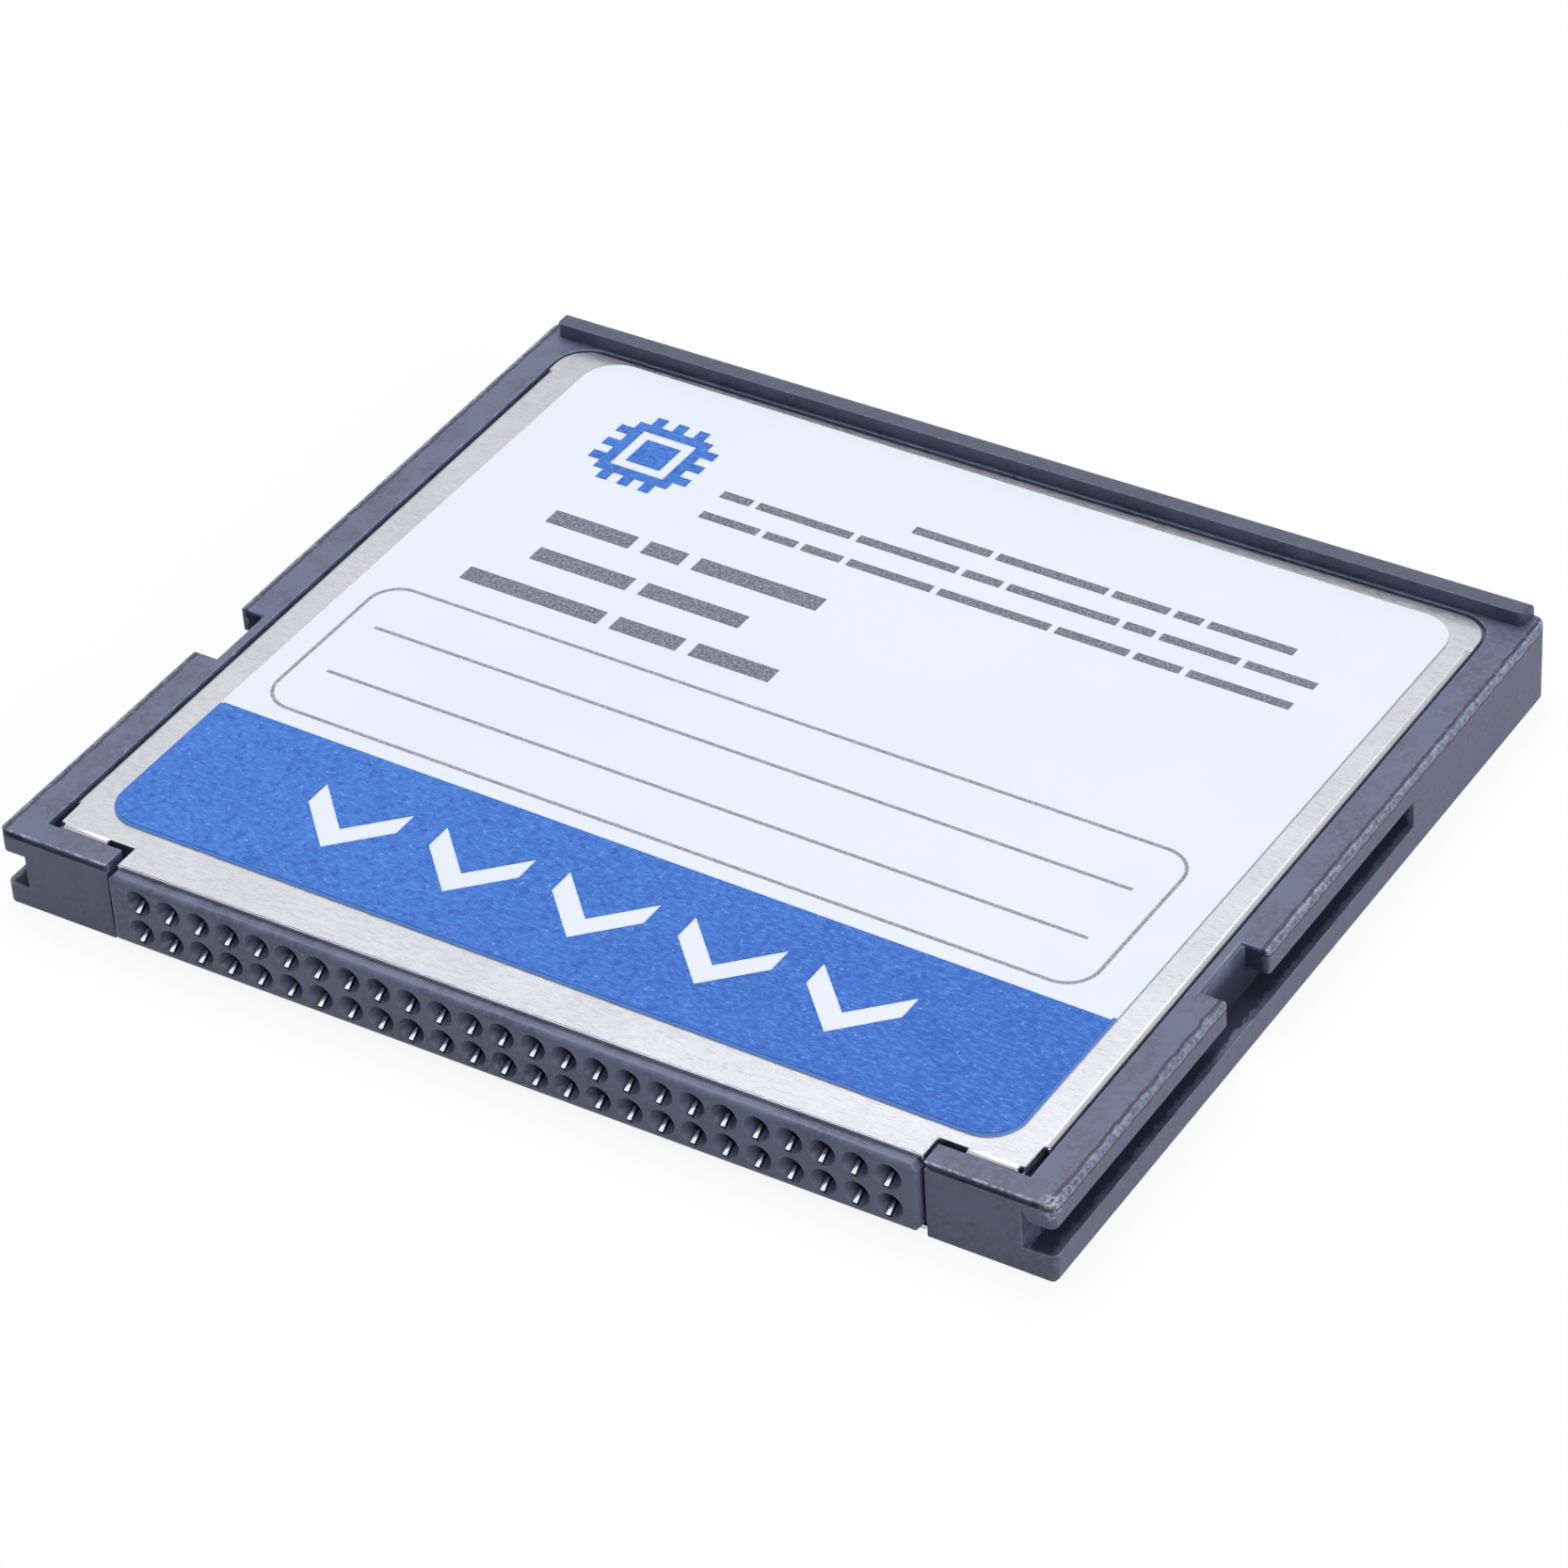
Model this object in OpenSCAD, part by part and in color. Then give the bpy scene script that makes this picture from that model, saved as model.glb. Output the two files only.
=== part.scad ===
// Compact flash memory card, Type I outline, lying label side up.
// X runs across the card, the connector faces -Y, Z is up from the bottom cover.
// The origin is on the bottom face, under the middle of the card.

/* [Card outline] */
// Width over the two side rails
card_w = 42.8; // [42.4:0.1:44]
// Length from the connector face to the back edge
card_l = 36.4; // [36:0.1:40]
// Thickness of the body without the back ridge
card_t = 3.3; // [3.25:0.05:5]
// Radius of the two back corners seen from above
corner_r = 0.6; // [0.2:0.1:1.2]
// Radius of the two front corners seen from above
front_corner_r = 0.3; // [0.1:0.05:0.5]
// Rounding of the outer long edges
edge_r = 0.15; // [0.05:0.05:0.3]
// Rounding of the top and bottom edges at the front and the back
end_r = 0.06; // [0.03:0.01:0.1]

/* [Frame] */
// Distance of the corner blocks behind the connector face
block_setback = 0.25; // [0.1:0.05:0.6]
// Width of the rim beside the covers
rim_w = 1.45; // [1.35:0.05:2]
// Width of the rim behind the covers
back_wall = 1.05; // [0.8:0.05:1.6]
// Width of the block strip in front of the covers
block_strip = 1.0; // [0.7:0.05:1.4]
// Length of a corner block from the connector face
block_l = 5.45; // [5:0.05:7]
// Width of the rib that carries the edge of each cover
seat_rib = 0.4; // [0.3:0.05:0.8]
// Width of the channel that takes a cover flange
channel_w = 0.35; // [0.3:0.05:0.6]
// Width of the shelf behind the circuit board
back_shelf = 0.9; // [0.6:0.1:1.6]
// Reach of the ledge under the circuit board
ledge_w = 0.7; // [0.4:0.1:1.5]
// Thickness of the ledge under the circuit board
ledge_t = 0.5; // [0.3:0.05:0.7]
// Depth of the parting recess on the front of the corner blocks
parting_deep = 0.14; // [0.04:0.02:0.2]
// Height of the parting recess
parting_h = 0.25; // [0.1:0.05:0.4]
// Height of the lip above the parting recess
parting_lip = 0.08; // [0.08:0.02:0.3]

/* [Guide grooves] */
// Length of a guide groove from the connector face
groove_l = 25.78; // [20:0.02:30]
// Depth of a guide groove into the side
groove_deep = 1.0; // [0.8:0.05:1.1]
// Thickness of the rail above each groove
rail_t = 1.01; // [0.9:0.01:1.3]
// Floor of the left groove, measured down from the top
left_floor = 2.44; // [2.3:0.01:2.6]
// Floor of the right groove, measured down from the top
right_floor = 2.15; // [2:0.01:2.4]
// Corner radius at the blind end of a groove
groove_r = 0.2; // [0.1:0.05:0.4]
// Length of the lead-in at the mouth of the right groove
lead_l = 0.85; // [0.4:0.05:1.5]
// Height of the lead-in over the groove at its inner side
lead_up = 0.45; // [0.1:0.05:0.6]
// Depth of the lead-in below the groove floor at its inner side
lead_down = 0.1; // [0.05:0.05:0.3]
// Depth that the lead-in cuts into the groove wall
lead_in = 0.3; // [0.05:0.05:0.35]
// Distance of the rail notches from the connector face
notch_y = 12; // [8:0.1:16]
// Length of a rail notch
notch_l = 3; // [2:0.1:5]
// Inner corner radius of a rail notch
notch_r = 0.12; // [0.06:0.02:0.4]
// Bevel of the top edge inside a rail notch
notch_bevel = 0.12; // [0.06:0.02:0.2]
// Rounding of the rail ends beside a notch
rail_end_r = 0.1; // [0.05:0.05:0.45]

/* [Back ridge] */
// Width of the finger ridge
ridge_w = 41.66; // [38:0.02:42]
// Length of the ridge along the card
ridge_l = 0.95; // [0.8:0.05:1]
// Height of the ridge above the body
ridge_h = 0.63; // [0.3:0.01:1]
// Rounding of the rear top edge of the ridge
ridge_r = 0.45; // [0.2:0.05:0.6]

/* [Covers] */
// Thickness of the cover sheet
sheet_t = 0.2; // [0.15:0.01:0.24]
// Outer radius of a bend in the sheet
bend_r = 0.25; // [0.25:0.01:0.3]
// Gap between a cover and the rim beside it
cover_gap = 0.1; // [0.05:0.01:0.12]
// Gap between a cover and the back rim
cover_back_gap = 0.15; // [0.05:0.01:0.2]
// Corner radius at the back of a cover
cover_r = 1.3; // [0.8:0.1:3]
// Front edge of the tongue, from the connector face
tongue_y = 0.5; // [0.3:0.05:0.9]
// Half width of the tongue over the connector
tongue_hw = 16.35; // [15.9:0.05:16.4]
// Inner end of a front tab, from the middle
tab_in = 17.45; // [17.2:0.05:18]
// Outer end of a front tab, from the middle
tab_out = 19.4; // [19:0.05:19.45]
// Gap in front of a front tab
tab_gap = 0.05; // [0.03:0.01:0.1]
// Drop of the front tabs below the cover face
tab_drop = 1.1; // [0.6:0.1:1.3]
// Start of a side flange, from the connector face
flange_y0 = 2.76; // [2:0.02:5]
// Distance of the side flanges from the back edge of the cover
flange_back = 1.85; // [1.8:0.05:6]
// Drop of the side flanges below the cover face
flange_drop = 0.75; // [0.5:0.05:0.8]

/* [Label] */
// Margin between the label and each side of the cover
label_side = 1.25; // [1:0.05:5]
// Margin between the label and the back of the cover
label_back = 0.45; // [0.4:0.05:6]
// Front edge of the label, from the connector face
label_y = 2.3; // [2:0.05:4]
// Thickness of the label
label_t = 0.06; // [0.05:0.01:0.12]
// Corner radius of the label
label_r = 1.45; // [0.5:0.05:3]
// Offset of the label to the right of the cover's middle
label_shift = 0.1; // [-0.2:0.05:0.2]
// Turn of the label as it was stuck on, in degrees
label_turn = -0.6; // [-0.8:0.1:0.8]
// Turn of the print on the label, in degrees
print_turn = -0.3; // [-0.4:0.1:0.4]
// Thickness of a printed field
ink_t = 0.02; // [0.01:0.01:0.04]
// White edge left round the blue band
band_inset = 0.12; // [0:0.02:0.4]
// Length of the blue band from the front of the label
band_l = 7.3; // [5:0.05:8]
// Number of arrowheads in the blue band
arrow_n = 5; // [3:1:6]
// Spacing of the arrowheads
arrow_pitch = 5.2; // [4.6:0.1:5.4]
// Width of an arrowhead
arrow_w = 3.8; // [2:0.1:4]
// Stroke of an arrowhead
arrow_stroke = 1.15; // [0.6:0.05:1.4]
// Line width of the writing box
line_w = 0.13; // [0.08:0.01:0.3]
// Margin between the writing box and each side of the label
box_side = 1.35; // [0.8:0.05:4]
// Offset of the writing box from the middle of the label
box_shift = -0.3; // [-0.4:0.1:0.4]
// Length of the writing box
box_l = 8.2; // [6:0.1:8.4]
// Gap between the blue band and the writing box
box_gap = 0.75; // [0.4:0.05:1.5]
// Corner radius of the writing box
box_r = 1.3; // [0.5:0.05:2]
// Distance of the two rules from the long sides of the writing box
rule_in = 2.6; // [2:0.1:2.8]
// Side of the chip sign
sign_w = 3.3; // [2:0.1:4]
// Centre of the chip sign from the left edge of the label
sign_side = 5.3; // [4:0.1:7]
// Centre of the chip sign from the back edge of the label
sign_back = 4.75; // [4:0.05:6]
// Height of a bold bar
bold_h = 0.8; // [0.5:0.05:1.2]
// Spacing of the rows of bold bars
bold_pitch = 2.25; // [1.5:0.05:2.6]
// Indent of the bold bars from the left edge of the label
bold_side = 3.3; // [2.5:0.1:6]
// Height of a fine bar
fine_h = 0.42; // [0.3:0.02:0.6]
// Spacing of the rows of fine bars
fine_pitch = 1.45; // [0.8:0.05:1.6]
// Indent of the fine bars from the left edge of the label
fine_side = 9; // [8.5:0.1:12]
// Margin between the fine bars and the back edge of the label
fine_back = 4; // [3:0.1:5]
// Gap between the bold and the fine rows
row_gap = 0.7; // [0.3:0.05:1]

/* [Connector] */
// Contacts in each row
pin_n = 25; // [15:2:25]
// Pitch of the contacts along a row and between rows
pitch = 1.27; // [1.2:0.01:1.3]
// Width of the connector housing
conn_w = 32.9; // [32.6:0.1:33]
// Offset of the housing body and its mouth from the middle of the contacts
conn_shift = -0.1; // [-0.1:0.02:0.1]
// Length of the connector housing
conn_l = 5.3; // [5:0.05:5.35]
// Clearance between the housing and each corner block
conn_gap = 0.15; // [0.08:0.01:0.2]
// Rounding of the front edges of the housing
conn_r = 0.25; // [0.1:0.05:0.4]
// Bevel of the long edges of the housing beside the corner blocks
conn_bevel = 0.25; // [0.1:0.05:0.4]
// Mouth radius of a contact funnel
funnel_r = 0.53; // [0.45:0.01:0.56]
// Depth of a contact funnel
funnel_l = 0.5; // [0.3:0.05:0.8]
// Radius of the pin hole behind a funnel
hole_r = 0.3; // [0.25:0.01:0.33]
// Length of a pin hole behind its funnel
hole_l = 0.5; // [0.3:0.05:0.8]
// Width of the chamber round a contact
chamber_w = 0.62; // [0.5:0.01:0.7]
// Height of the chamber round a contact
chamber_h = 0.84; // [0.8:0.01:0.86]
// Reach of the side keys of the housing
key_w = 0.4; // [0.2:0.05:0.7]
// Length of the side keys along the card
key_l = 1.4; // [0.8:0.1:2]
// Front of the side keys, from the connector face
key_y = 3; // [2.6:0.1:3.3]
// Height of the key seat above the bottom face
key_z = 0.9; // [0.7:0.05:1.2]

/* [Contacts] */
// Thickness of the contact strip
strip_t = 0.12; // [0.08:0.01:0.14]
// Width of a contact beam
beam_w = 0.16; // [0.14:0.01:0.3]
// Offset of the beams from the middle of their funnel
beam_side = -0.1; // [-0.12:0.02:0.12]
// Width of the contact base and tail
base_w = 0.42; // [0.3:0.01:0.48]
// Front of a contact beam, from the connector face
nose_y = 0.07; // [0.06:0.01:0.2]
// Length of the pressed-in base of a contact
base_l = 1.2; // [0.8:0.1:1.6]
// Distance of the base from the back of the housing
base_back = 0.5; // [0.3:0.05:0.8]
// Play above and below the base in its chamber
base_play = 0.05; // [0.02:0.01:0.08]
// Distance behind the funnel at which the beams grip a pin
grip_l = 0.8; // [0.6:0.05:1]
// Distance of a beam from the contact's middle where it grips
grip_rise = 0.12; // [0.1:0.01:0.16]
// Distance of a beam from the contact's middle at the base
base_rise = 0.3; // [0.2:0.01:0.3]
// Length of a soldered tail on the board
tail_l = 1.2; // [0.8:0.1:1.8]

/* [Circuit board] */
// Thickness of the circuit board
board_t = 0.6; // [0.5:0.05:0.7]
// Clearance round the board inside the frame
board_gap = 0.15; // [0.05:0.01:0.25]
// Clearance between the board and the connector housing
board_front_gap = 0.35; // [0.2:0.05:0.5]
// Corner cut of the board
board_cut = 0.6; // [0.2:0.1:2]
// Thickness of the insulating film inside each cover
film_t = 0.05; // [0.03:0.01:0.05]
// Distance of the film from the edges of the board
film_margin = 1.0; // [0.2:0.1:3]

/* [Chips] */
// Thickness of a moulded chip
chip_t = 0.94; // [0.8:0.02:0.94]
// Gap between a chip and the board
standoff = 0.08; // [0.05:0.01:0.1]
// Radius of the dimple that marks the first lead
dimple_r = 0.5; // [0.3:0.05:0.8]
// Distance of the dimple from the two nearest edges
dimple_in = 1.2; // [0.9:0.1:2]
// Depth of the dimple
dimple_deep = 0.08; // [0.04:0.02:0.2]
// Width of the strip between the controller and the memory chips
strip_w = 4.6; // [4:0.1:5]
// Side of the controller chip
controller_w = 14; // [10:0.1:14]
// Leads on each side of the controller
controller_n = 25; // [16:1:25]
// Width of a memory chip
memory_w = 12; // [10:0.1:12]
// Length of a memory chip
memory_l = 18.4; // [14:0.1:18.4]
// Leads on each end of a memory chip
memory_n = 24; // [14:1:24]
// Pitch of the chip leads
lead_pitch = 0.5; // [0.4:0.01:0.5]
// Width of a chip lead
lead_w = 0.22; // [0.15:0.01:0.26]
// Thickness of a chip lead
lead_t = 0.12; // [0.08:0.01:0.16]
// Reach of a chip lead beyond the chip
lead_reach = 0.8; // [0.6:0.05:1]

/* [Small parts] */
// Length of a chip capacitor
cap_l = 1.6; // [1:0.05:1.8]
// Width and height of a chip capacitor
cap_w = 0.8; // [0.5:0.05:0.9]
// Length of a chip resistor
res_l = 1.0; // [0.8:0.05:1.2]
// Width of a chip resistor
res_w = 0.5; // [0.4:0.05:0.6]
// Height of a chip resistor
res_h = 0.35; // [0.25:0.05:0.5]
// Length of the metal end on a chip capacitor or resistor
term_l = 0.22; // [0.15:0.01:0.3]
// Length of the clock crystal
crystal_l = 3.2; // [2.5:0.1:4]
// Width of the clock crystal
crystal_w = 2.5; // [2:0.1:3]
// Height of the clock crystal
crystal_h = 0.8; // [0.6:0.05:0.95]
// Length of the voltage regulator body
regulator_l = 2.9; // [2.5:0.1:3.2]
// Width of the voltage regulator body
regulator_w = 1.6; // [1.4:0.1:1.8]
// Reach of the regulator leads beyond its body
regulator_reach = 0.7; // [0.5:0.05:0.7]
// Pitch of the regulator leads
regulator_pitch = 0.95; // [0.8:0.05:1]
// Least gap between parts on the board
part_gap = 0.2; // [0.1:0.05:0.2]
// Step round the lid of the clock crystal
crystal_step = 0.2; // [0.1:0.05:0.4]
// Spacing of the rows of small parts
part_pitch = 1.6; // [1.4:0.1:2]

/* [Hidden] */
$fn = 48;

// Overcut that keeps cutting faces off the faces they cut
eps = 0.5;
// Half widths and heights that several pieces share
card_hw = card_w / 2;
mid_z = card_t / 2;
inner_hw = card_hw - rim_w;
rib_out = inner_hw - channel_w;
rib_in = rib_out - seat_rib;
pocket_y0 = block_setback + block_strip;
pocket_y1 = card_l - back_wall;
shelf_y = pocket_y1 - back_shelf;
mouth_hw = conn_w / 2 + conn_gap;
seat_z = card_t - sheet_t;
groove_top = card_t - rail_t;
wall_x = card_hw - groove_deep;
// Play beside the cover flanges and tabs
slot_play = 0.1;
channel_z = card_t - flange_drop - slot_play;
// Covers
cover_hw = inner_hw - cover_gap;
cover_y1 = pocket_y1 - cover_back_gap;
flange_y1 = cover_y1 - flange_back;
tab_face = pocket_y0 + tab_gap;
tab_bend_y = tab_face + bend_r;
// Label and its print
label_w = 2 * (cover_hw - label_side);
label_l = cover_y1 - label_back - label_y;
box_w = label_w - 2 * box_side;
box_y = label_y + band_l + box_gap;
// Circuit board
board_z = mid_z - board_t / 2;
board_top = board_z + board_t;
board_y0 = conn_l + board_front_gap;
board_y1 = shelf_y - board_gap;
board_hw = rib_in - board_gap;
// Contacts
tail_drop = pitch / 2 - board_t / 2 - strip_t / 2;
nose_drop = funnel_r - strip_t / 4;
throat_drop = hole_r + strip_t / 2;
base_y1 = conn_l - base_back;
base_y0 = base_y1 - base_l;
// The chips stand midway between the front row of capacitors and the back of the board
tails_y = board_y0 + tail_l;
caps_y = tails_y + part_gap + cap_w / 2;
chips_y = (caps_y + cap_w / 2 + part_gap + board_y1) / 2;
// Beside them the board keeps the same free width on both sides
controller_hw = controller_w / 2 + lead_reach;
side_free = board_hw - controller_hw - strip_w / 2 - memory_w / 2;
controller_x = side_free + controller_hw - board_hw;
memory_x = board_hw - side_free - memory_w / 2;
strip_x = memory_x - memory_w / 2 - strip_w / 2;
// The regulator stands at the front of the strip, clear of the contact tails
regulator_y = tails_y + part_gap + regulator_reach + regulator_w / 2;

// Puts a piece drawn from the connector face back over the origin
module seated() {
    translate([0, -card_l / 2, 0]) children();
}

// Copies a piece of the label side onto the bottom side
module both_faces() {
    children();
    underside() children();
}

// Turns a piece of the label side over, about the middle of the thickness
module underside() {
    translate([0, 0, card_t]) mirror([0, 0, 1]) children();
}

// Copies a piece of the right side onto the left side
module both_sides() {
    children();
    mirror([1, 0, 0]) children();
}

// Rectangle between two corners with rounded corners
module round_rect(x0, x1, y0, y1, r) {
    translate([x0 + r, y0]) square([x1 - x0 - 2 * r, y1 - y0]);
    translate([x0, y0 + r]) square([x1 - x0, y1 - y0 - 2 * r]);
    for (x = [x0 + r, x1 - r], y = [y0 + r, y1 - r]) translate([x, y]) circle(r);
}

// Block between two corners
module block(x0, x1, y0, y1, z0, z1) {
    translate([x0, y0, z0]) cube([x1 - x0, y1 - y0, z1 - z0]);
}

// Extrudes a profile of X and Z from y0 to y1
module along_y(y0, y1) {
    translate([0, y1, 0]) rotate([90, 0, 0]) linear_extrude(y1 - y0) children();
}

// Extrudes a profile of Y and Z from x0 to x1
module along_x(x0, x1) {
    translate([x0, 0, 0]) rotate([90, 0, 90]) linear_extrude(x1 - x0) children();
}

// Direction of step i of a path, and the mean direction at a corner
function step_dir(p, i) = (p[i + 1] - p[i]) / norm(p[i + 1] - p[i]);
function corner_dir(p, i) =
    i == 0 ? step_dir(p, 0)
    : i == len(p) - 1 ? step_dir(p, i - 1)
    : (step_dir(p, i - 1) + step_dir(p, i)) / norm(step_dir(p, i - 1) + step_dir(p, i));
// Half width at a corner that keeps the strip's thickness on both sides of it
function corner_reach(p, i) = i == 0 ? 1 : 1 / (corner_dir(p, i) * step_dir(p, i - 1));
function strip_side(p, h, order) = [
    for (i = order) p[i] + h * corner_reach(p, i) * [-corner_dir(p, i)[1], corner_dir(p, i)[0]]
];
// Outline of a bent strip of thickness t along path p
function strip(p, t) = concat(
    strip_side(p, t / 2, [0 : len(p) - 1]),
    strip_side(p, -t / 2, [len(p) - 1 : -1 : 0])
);

// Solid outline of the frame before anything is cut
module frame_blank() {
    intersection() {
        // The first plan rounds the back corners and the second the front ones
        linear_extrude(card_t)
            round_rect(-card_hw, card_hw, block_setback - card_hw, card_l, corner_r);
        linear_extrude(card_t)
            round_rect(-card_hw, card_hw, block_setback, card_l + card_hw, front_corner_r);
        along_y(0, card_l) round_rect(-card_hw, card_hw, 0, card_t, edge_r);
        along_x(-card_hw, card_hw) round_rect(block_setback, card_l, 0, card_t, end_r);
    }
}

// Plan of the recess that takes a cover, with its rounded back corners
module cover_pocket_plan() {
    r = cover_r + cover_gap;
    translate([-inner_hw, pocket_y0]) square([2 * inner_hw, pocket_y1 - pocket_y0 - r]);
    translate([r - inner_hw, pocket_y0]) square([2 * (inner_hw - r), pocket_y1 - pocket_y0]);
    for (x = [r - inner_hw, inner_hw - r]) translate([x, pocket_y1 - r]) circle(r);
}

// Recess of the label side cover, with the slots of its flanges and tabs
module cover_recess() {
    translate([0, 0, seat_z]) linear_extrude(sheet_t + eps) cover_pocket_plan();
    both_sides() {
        block(rib_out, inner_hw, pocket_y0, flange_y1 + slot_play, channel_z, card_t);
        // The slot of a tab reaches to the mouth of the connector housing
        block(
            mouth_hw - eps, tab_out + slot_play, pocket_y0, tab_bend_y + slot_play,
            card_t - tab_drop - slot_play, card_t
        );
    }
}

// One guide groove on the right side
module groove(floor_down) {
    floor_z = card_t - floor_down;
    translate([0, 0, floor_z]) linear_extrude(groove_top - floor_z)
        round_rect(wall_x, card_hw + eps, block_setback - eps, groove_l, groove_r);
}

// Flared mouth of the right groove, widest at its inner side
module groove_mouth() {
    floor_z = card_t - right_floor;
    y0 = block_setback - eps / 10;
    y1 = block_setback + lead_l;
    intersection() {
        linear_extrude(card_t)
            polygon([[wall_x - lead_in, y0], [card_hw + eps, y0], [card_hw + eps, y1], [wall_x, y1]]);
        along_x(wall_x - lead_in, card_hw + eps) polygon([
            [y0, floor_z - lead_down], [y1, floor_z], [y1, groove_top], [y0, groove_top + lead_up]
        ]);
        along_y(y0, y1) polygon([
            [wall_x - lead_in, floor_z - lead_down], [wall_x, floor_z - lead_down],
            [card_hw + eps, floor_z], [card_hw + eps, groove_top], [wall_x, groove_top],
            [wall_x - lead_in, groove_top + lead_up]
        ]);
    }
}

// One notch in the rail above the groove, on the right side
module rail_notch() {
    y1 = notch_y + notch_l;
    translate([0, 0, groove_top - rail_t / 2]) linear_extrude(rail_t * 1.5 + eps) {
        round_rect(wall_x, card_hw + notch_l, notch_y, y1, notch_r);
        for (end = [0, 1]) translate([card_hw, end == 0 ? notch_y : y1]) mirror([0, 1 - end])
            difference() {
                translate([-rail_end_r, -eps / 10]) square([rail_end_r + eps, rail_end_r + eps / 10]);
                translate([-rail_end_r, rail_end_r]) circle(rail_end_r);
            }
    }
    // Bevel of the top edge inside the notch
    along_y(notch_y, y1) polygon([
        [wall_x - notch_bevel, card_t], [wall_x, card_t - notch_bevel],
        [wall_x + notch_bevel, card_t - notch_bevel], [wall_x + notch_bevel, card_t + eps],
        [wall_x - notch_bevel, card_t + eps]
    ]);
}

// Finger ridge along the back edge of the label side
module back_ridge() {
    y0 = card_l - ridge_l;
    top = card_t + ridge_h;
    intersection() {
        along_x(-ridge_w / 2, ridge_w / 2) {
            translate([y0, card_t - edge_r]) square([ridge_l - ridge_r, ridge_h + edge_r]);
            translate([y0, card_t - edge_r]) square([ridge_l, ridge_h + edge_r - ridge_r]);
            translate([card_l - ridge_r, top - ridge_r]) circle(ridge_r);
        }
        translate([0, 0, card_t - edge_r]) linear_extrude(ridge_h + edge_r)
            round_rect(-ridge_w / 2, ridge_w / 2, y0, card_l + corner_r, corner_r / 2);
        along_y(y0, card_l)
            round_rect(-ridge_w / 2, ridge_w / 2, 0, top, edge_r);
    }
}

// Moulded plastic frame: rim, corner blocks, cover seats, grooves and ridge
module frame() color([0.27, 0.29, 0.34]) seated() {
    difference() {
        union() {
            frame_blank();
            back_ridge();
        }
        both_faces() cover_recess();
        // Room for the circuit board and chips
        block(-rib_in, rib_in, block_l, shelf_y, -eps, seat_z + eps);
        // Mouth for the connector housing, with the slots of its side keys
        translate([conn_shift, 0, 0]) {
            block(-mouth_hw, mouth_hw, -eps, block_l + eps, -eps, card_t + eps);
            both_sides() block(
                0, mouth_hw + key_w, key_y - conn_gap, key_y + key_l + conn_gap, key_z, card_t + eps
            );
        }
        groove(right_floor);
        groove_mouth();
        mirror([1, 0, 0]) groove(left_floor);
        both_sides() rail_notch();
        // Recess of the mould parting line on the front of both blocks
        block(
            -card_hw - eps, card_hw + eps, block_setback - eps, block_setback + parting_deep,
            card_t - parting_lip - parting_h, card_t - parting_lip
        );
    }
    // Ledges that carry the circuit board
    both_sides() block(rib_in - ledge_w, rib_in, block_l, shelf_y, board_z - ledge_t, board_z);
}

// Bend and turned-down edge of the sheet: outer face at 0, cover face at 0
module bent_edge(drop) {
    intersection() {
        translate([-bend_r, -bend_r]) difference() {
            circle(bend_r);
            circle(bend_r - sheet_t);
        }
        translate([-bend_r, -bend_r]) square(2 * bend_r);
    }
    translate([-sheet_t, -drop]) square([sheet_t, drop - bend_r]);
}

// Flat part of a cover seen from above
module cover_plan() {
    flat_hw = cover_hw - bend_r;
    translate([-tongue_hw, tongue_y]) square([2 * tongue_hw, tab_bend_y + eps - tongue_y]);
    translate([-flat_hw, tab_bend_y]) square([2 * flat_hw, flange_y1 - tab_bend_y]);
    translate([-cover_hw, flange_y1]) square([2 * cover_hw, cover_y1 - cover_r - flange_y1]);
    translate([cover_r - cover_hw, flange_y1 - eps])
        square([2 * (cover_hw - cover_r), cover_y1 - flange_y1 + eps]);
    for (x = [cover_r - cover_hw, cover_hw - cover_r])
        translate([x, cover_y1 - cover_r]) circle(cover_r);
}

// Stamped steel cover in its label side place
module steel_cover() {
    translate([0, 0, seat_z]) linear_extrude(sheet_t) cover_plan();
    both_sides() {
        along_y(flange_y0, flange_y1) translate([cover_hw, card_t]) bent_edge(flange_drop);
        along_x(tab_in, tab_out) translate([tab_face, card_t]) mirror([1, 0]) bent_edge(tab_drop);
    }
}

module top_cover() color([0.87, 0.86, 0.87]) seated() steel_cover();

module bottom_cover() color([0.84, 0.84, 0.86]) seated() underside() steel_cover();

// Turns a shape about the middle of the label
module turned(angle) {
    middle = [0, label_y + label_l / 2];
    translate(middle) rotate(angle) translate(-middle) children();
}

// Places a shape of the label with the offset and turn that it was stuck on with
module on_label() {
    translate([label_shift, 0]) turned(label_turn) children();
}

module label_plan(inset) {
    round_rect(
        inset - label_w / 2, label_w / 2 - inset, label_y + inset, label_y + label_l - inset,
        label_r - inset
    );
}

// Printed label stuck on the top cover
module label() color([0.93, 0.95, 0.99]) seated() translate([0, 0, card_t])
    linear_extrude(label_t) on_label() label_plan(0);

// Lays a printed field on the label
module printed() {
    seated() translate([0, 0, card_t + label_t]) linear_extrude(ink_t) on_label() children();
}

// Arrowhead that points to the connector, its tip on the origin
module arrowhead() {
    rise = arrow_w / 2;
    polygon([
        [0, 0], [rise, rise], [rise, rise + arrow_stroke],
        [0, arrow_stroke], [-rise, rise + arrow_stroke], [-rise, rise]
    ]);
}

// Chip sign: a square body with a white window and short legs on all sides
module chip_sign() {
    leg_w = sign_w / 7;
    leg_l = sign_w / 6;
    difference() {
        square(sign_w, center = true);
        difference() {
            square(sign_w * 0.72, center = true);
            square(sign_w * 0.46, center = true);
        }
    }
    for (turn = [0, 90], offset = [-1, 0, 1]) rotate(turn)
        translate([offset * 2 * leg_w, 0]) difference() {
            square([leg_w, sign_w + 2 * leg_l], center = true);
            square([2 * leg_w, sign_w - line_w], center = true);
        }
}

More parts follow.
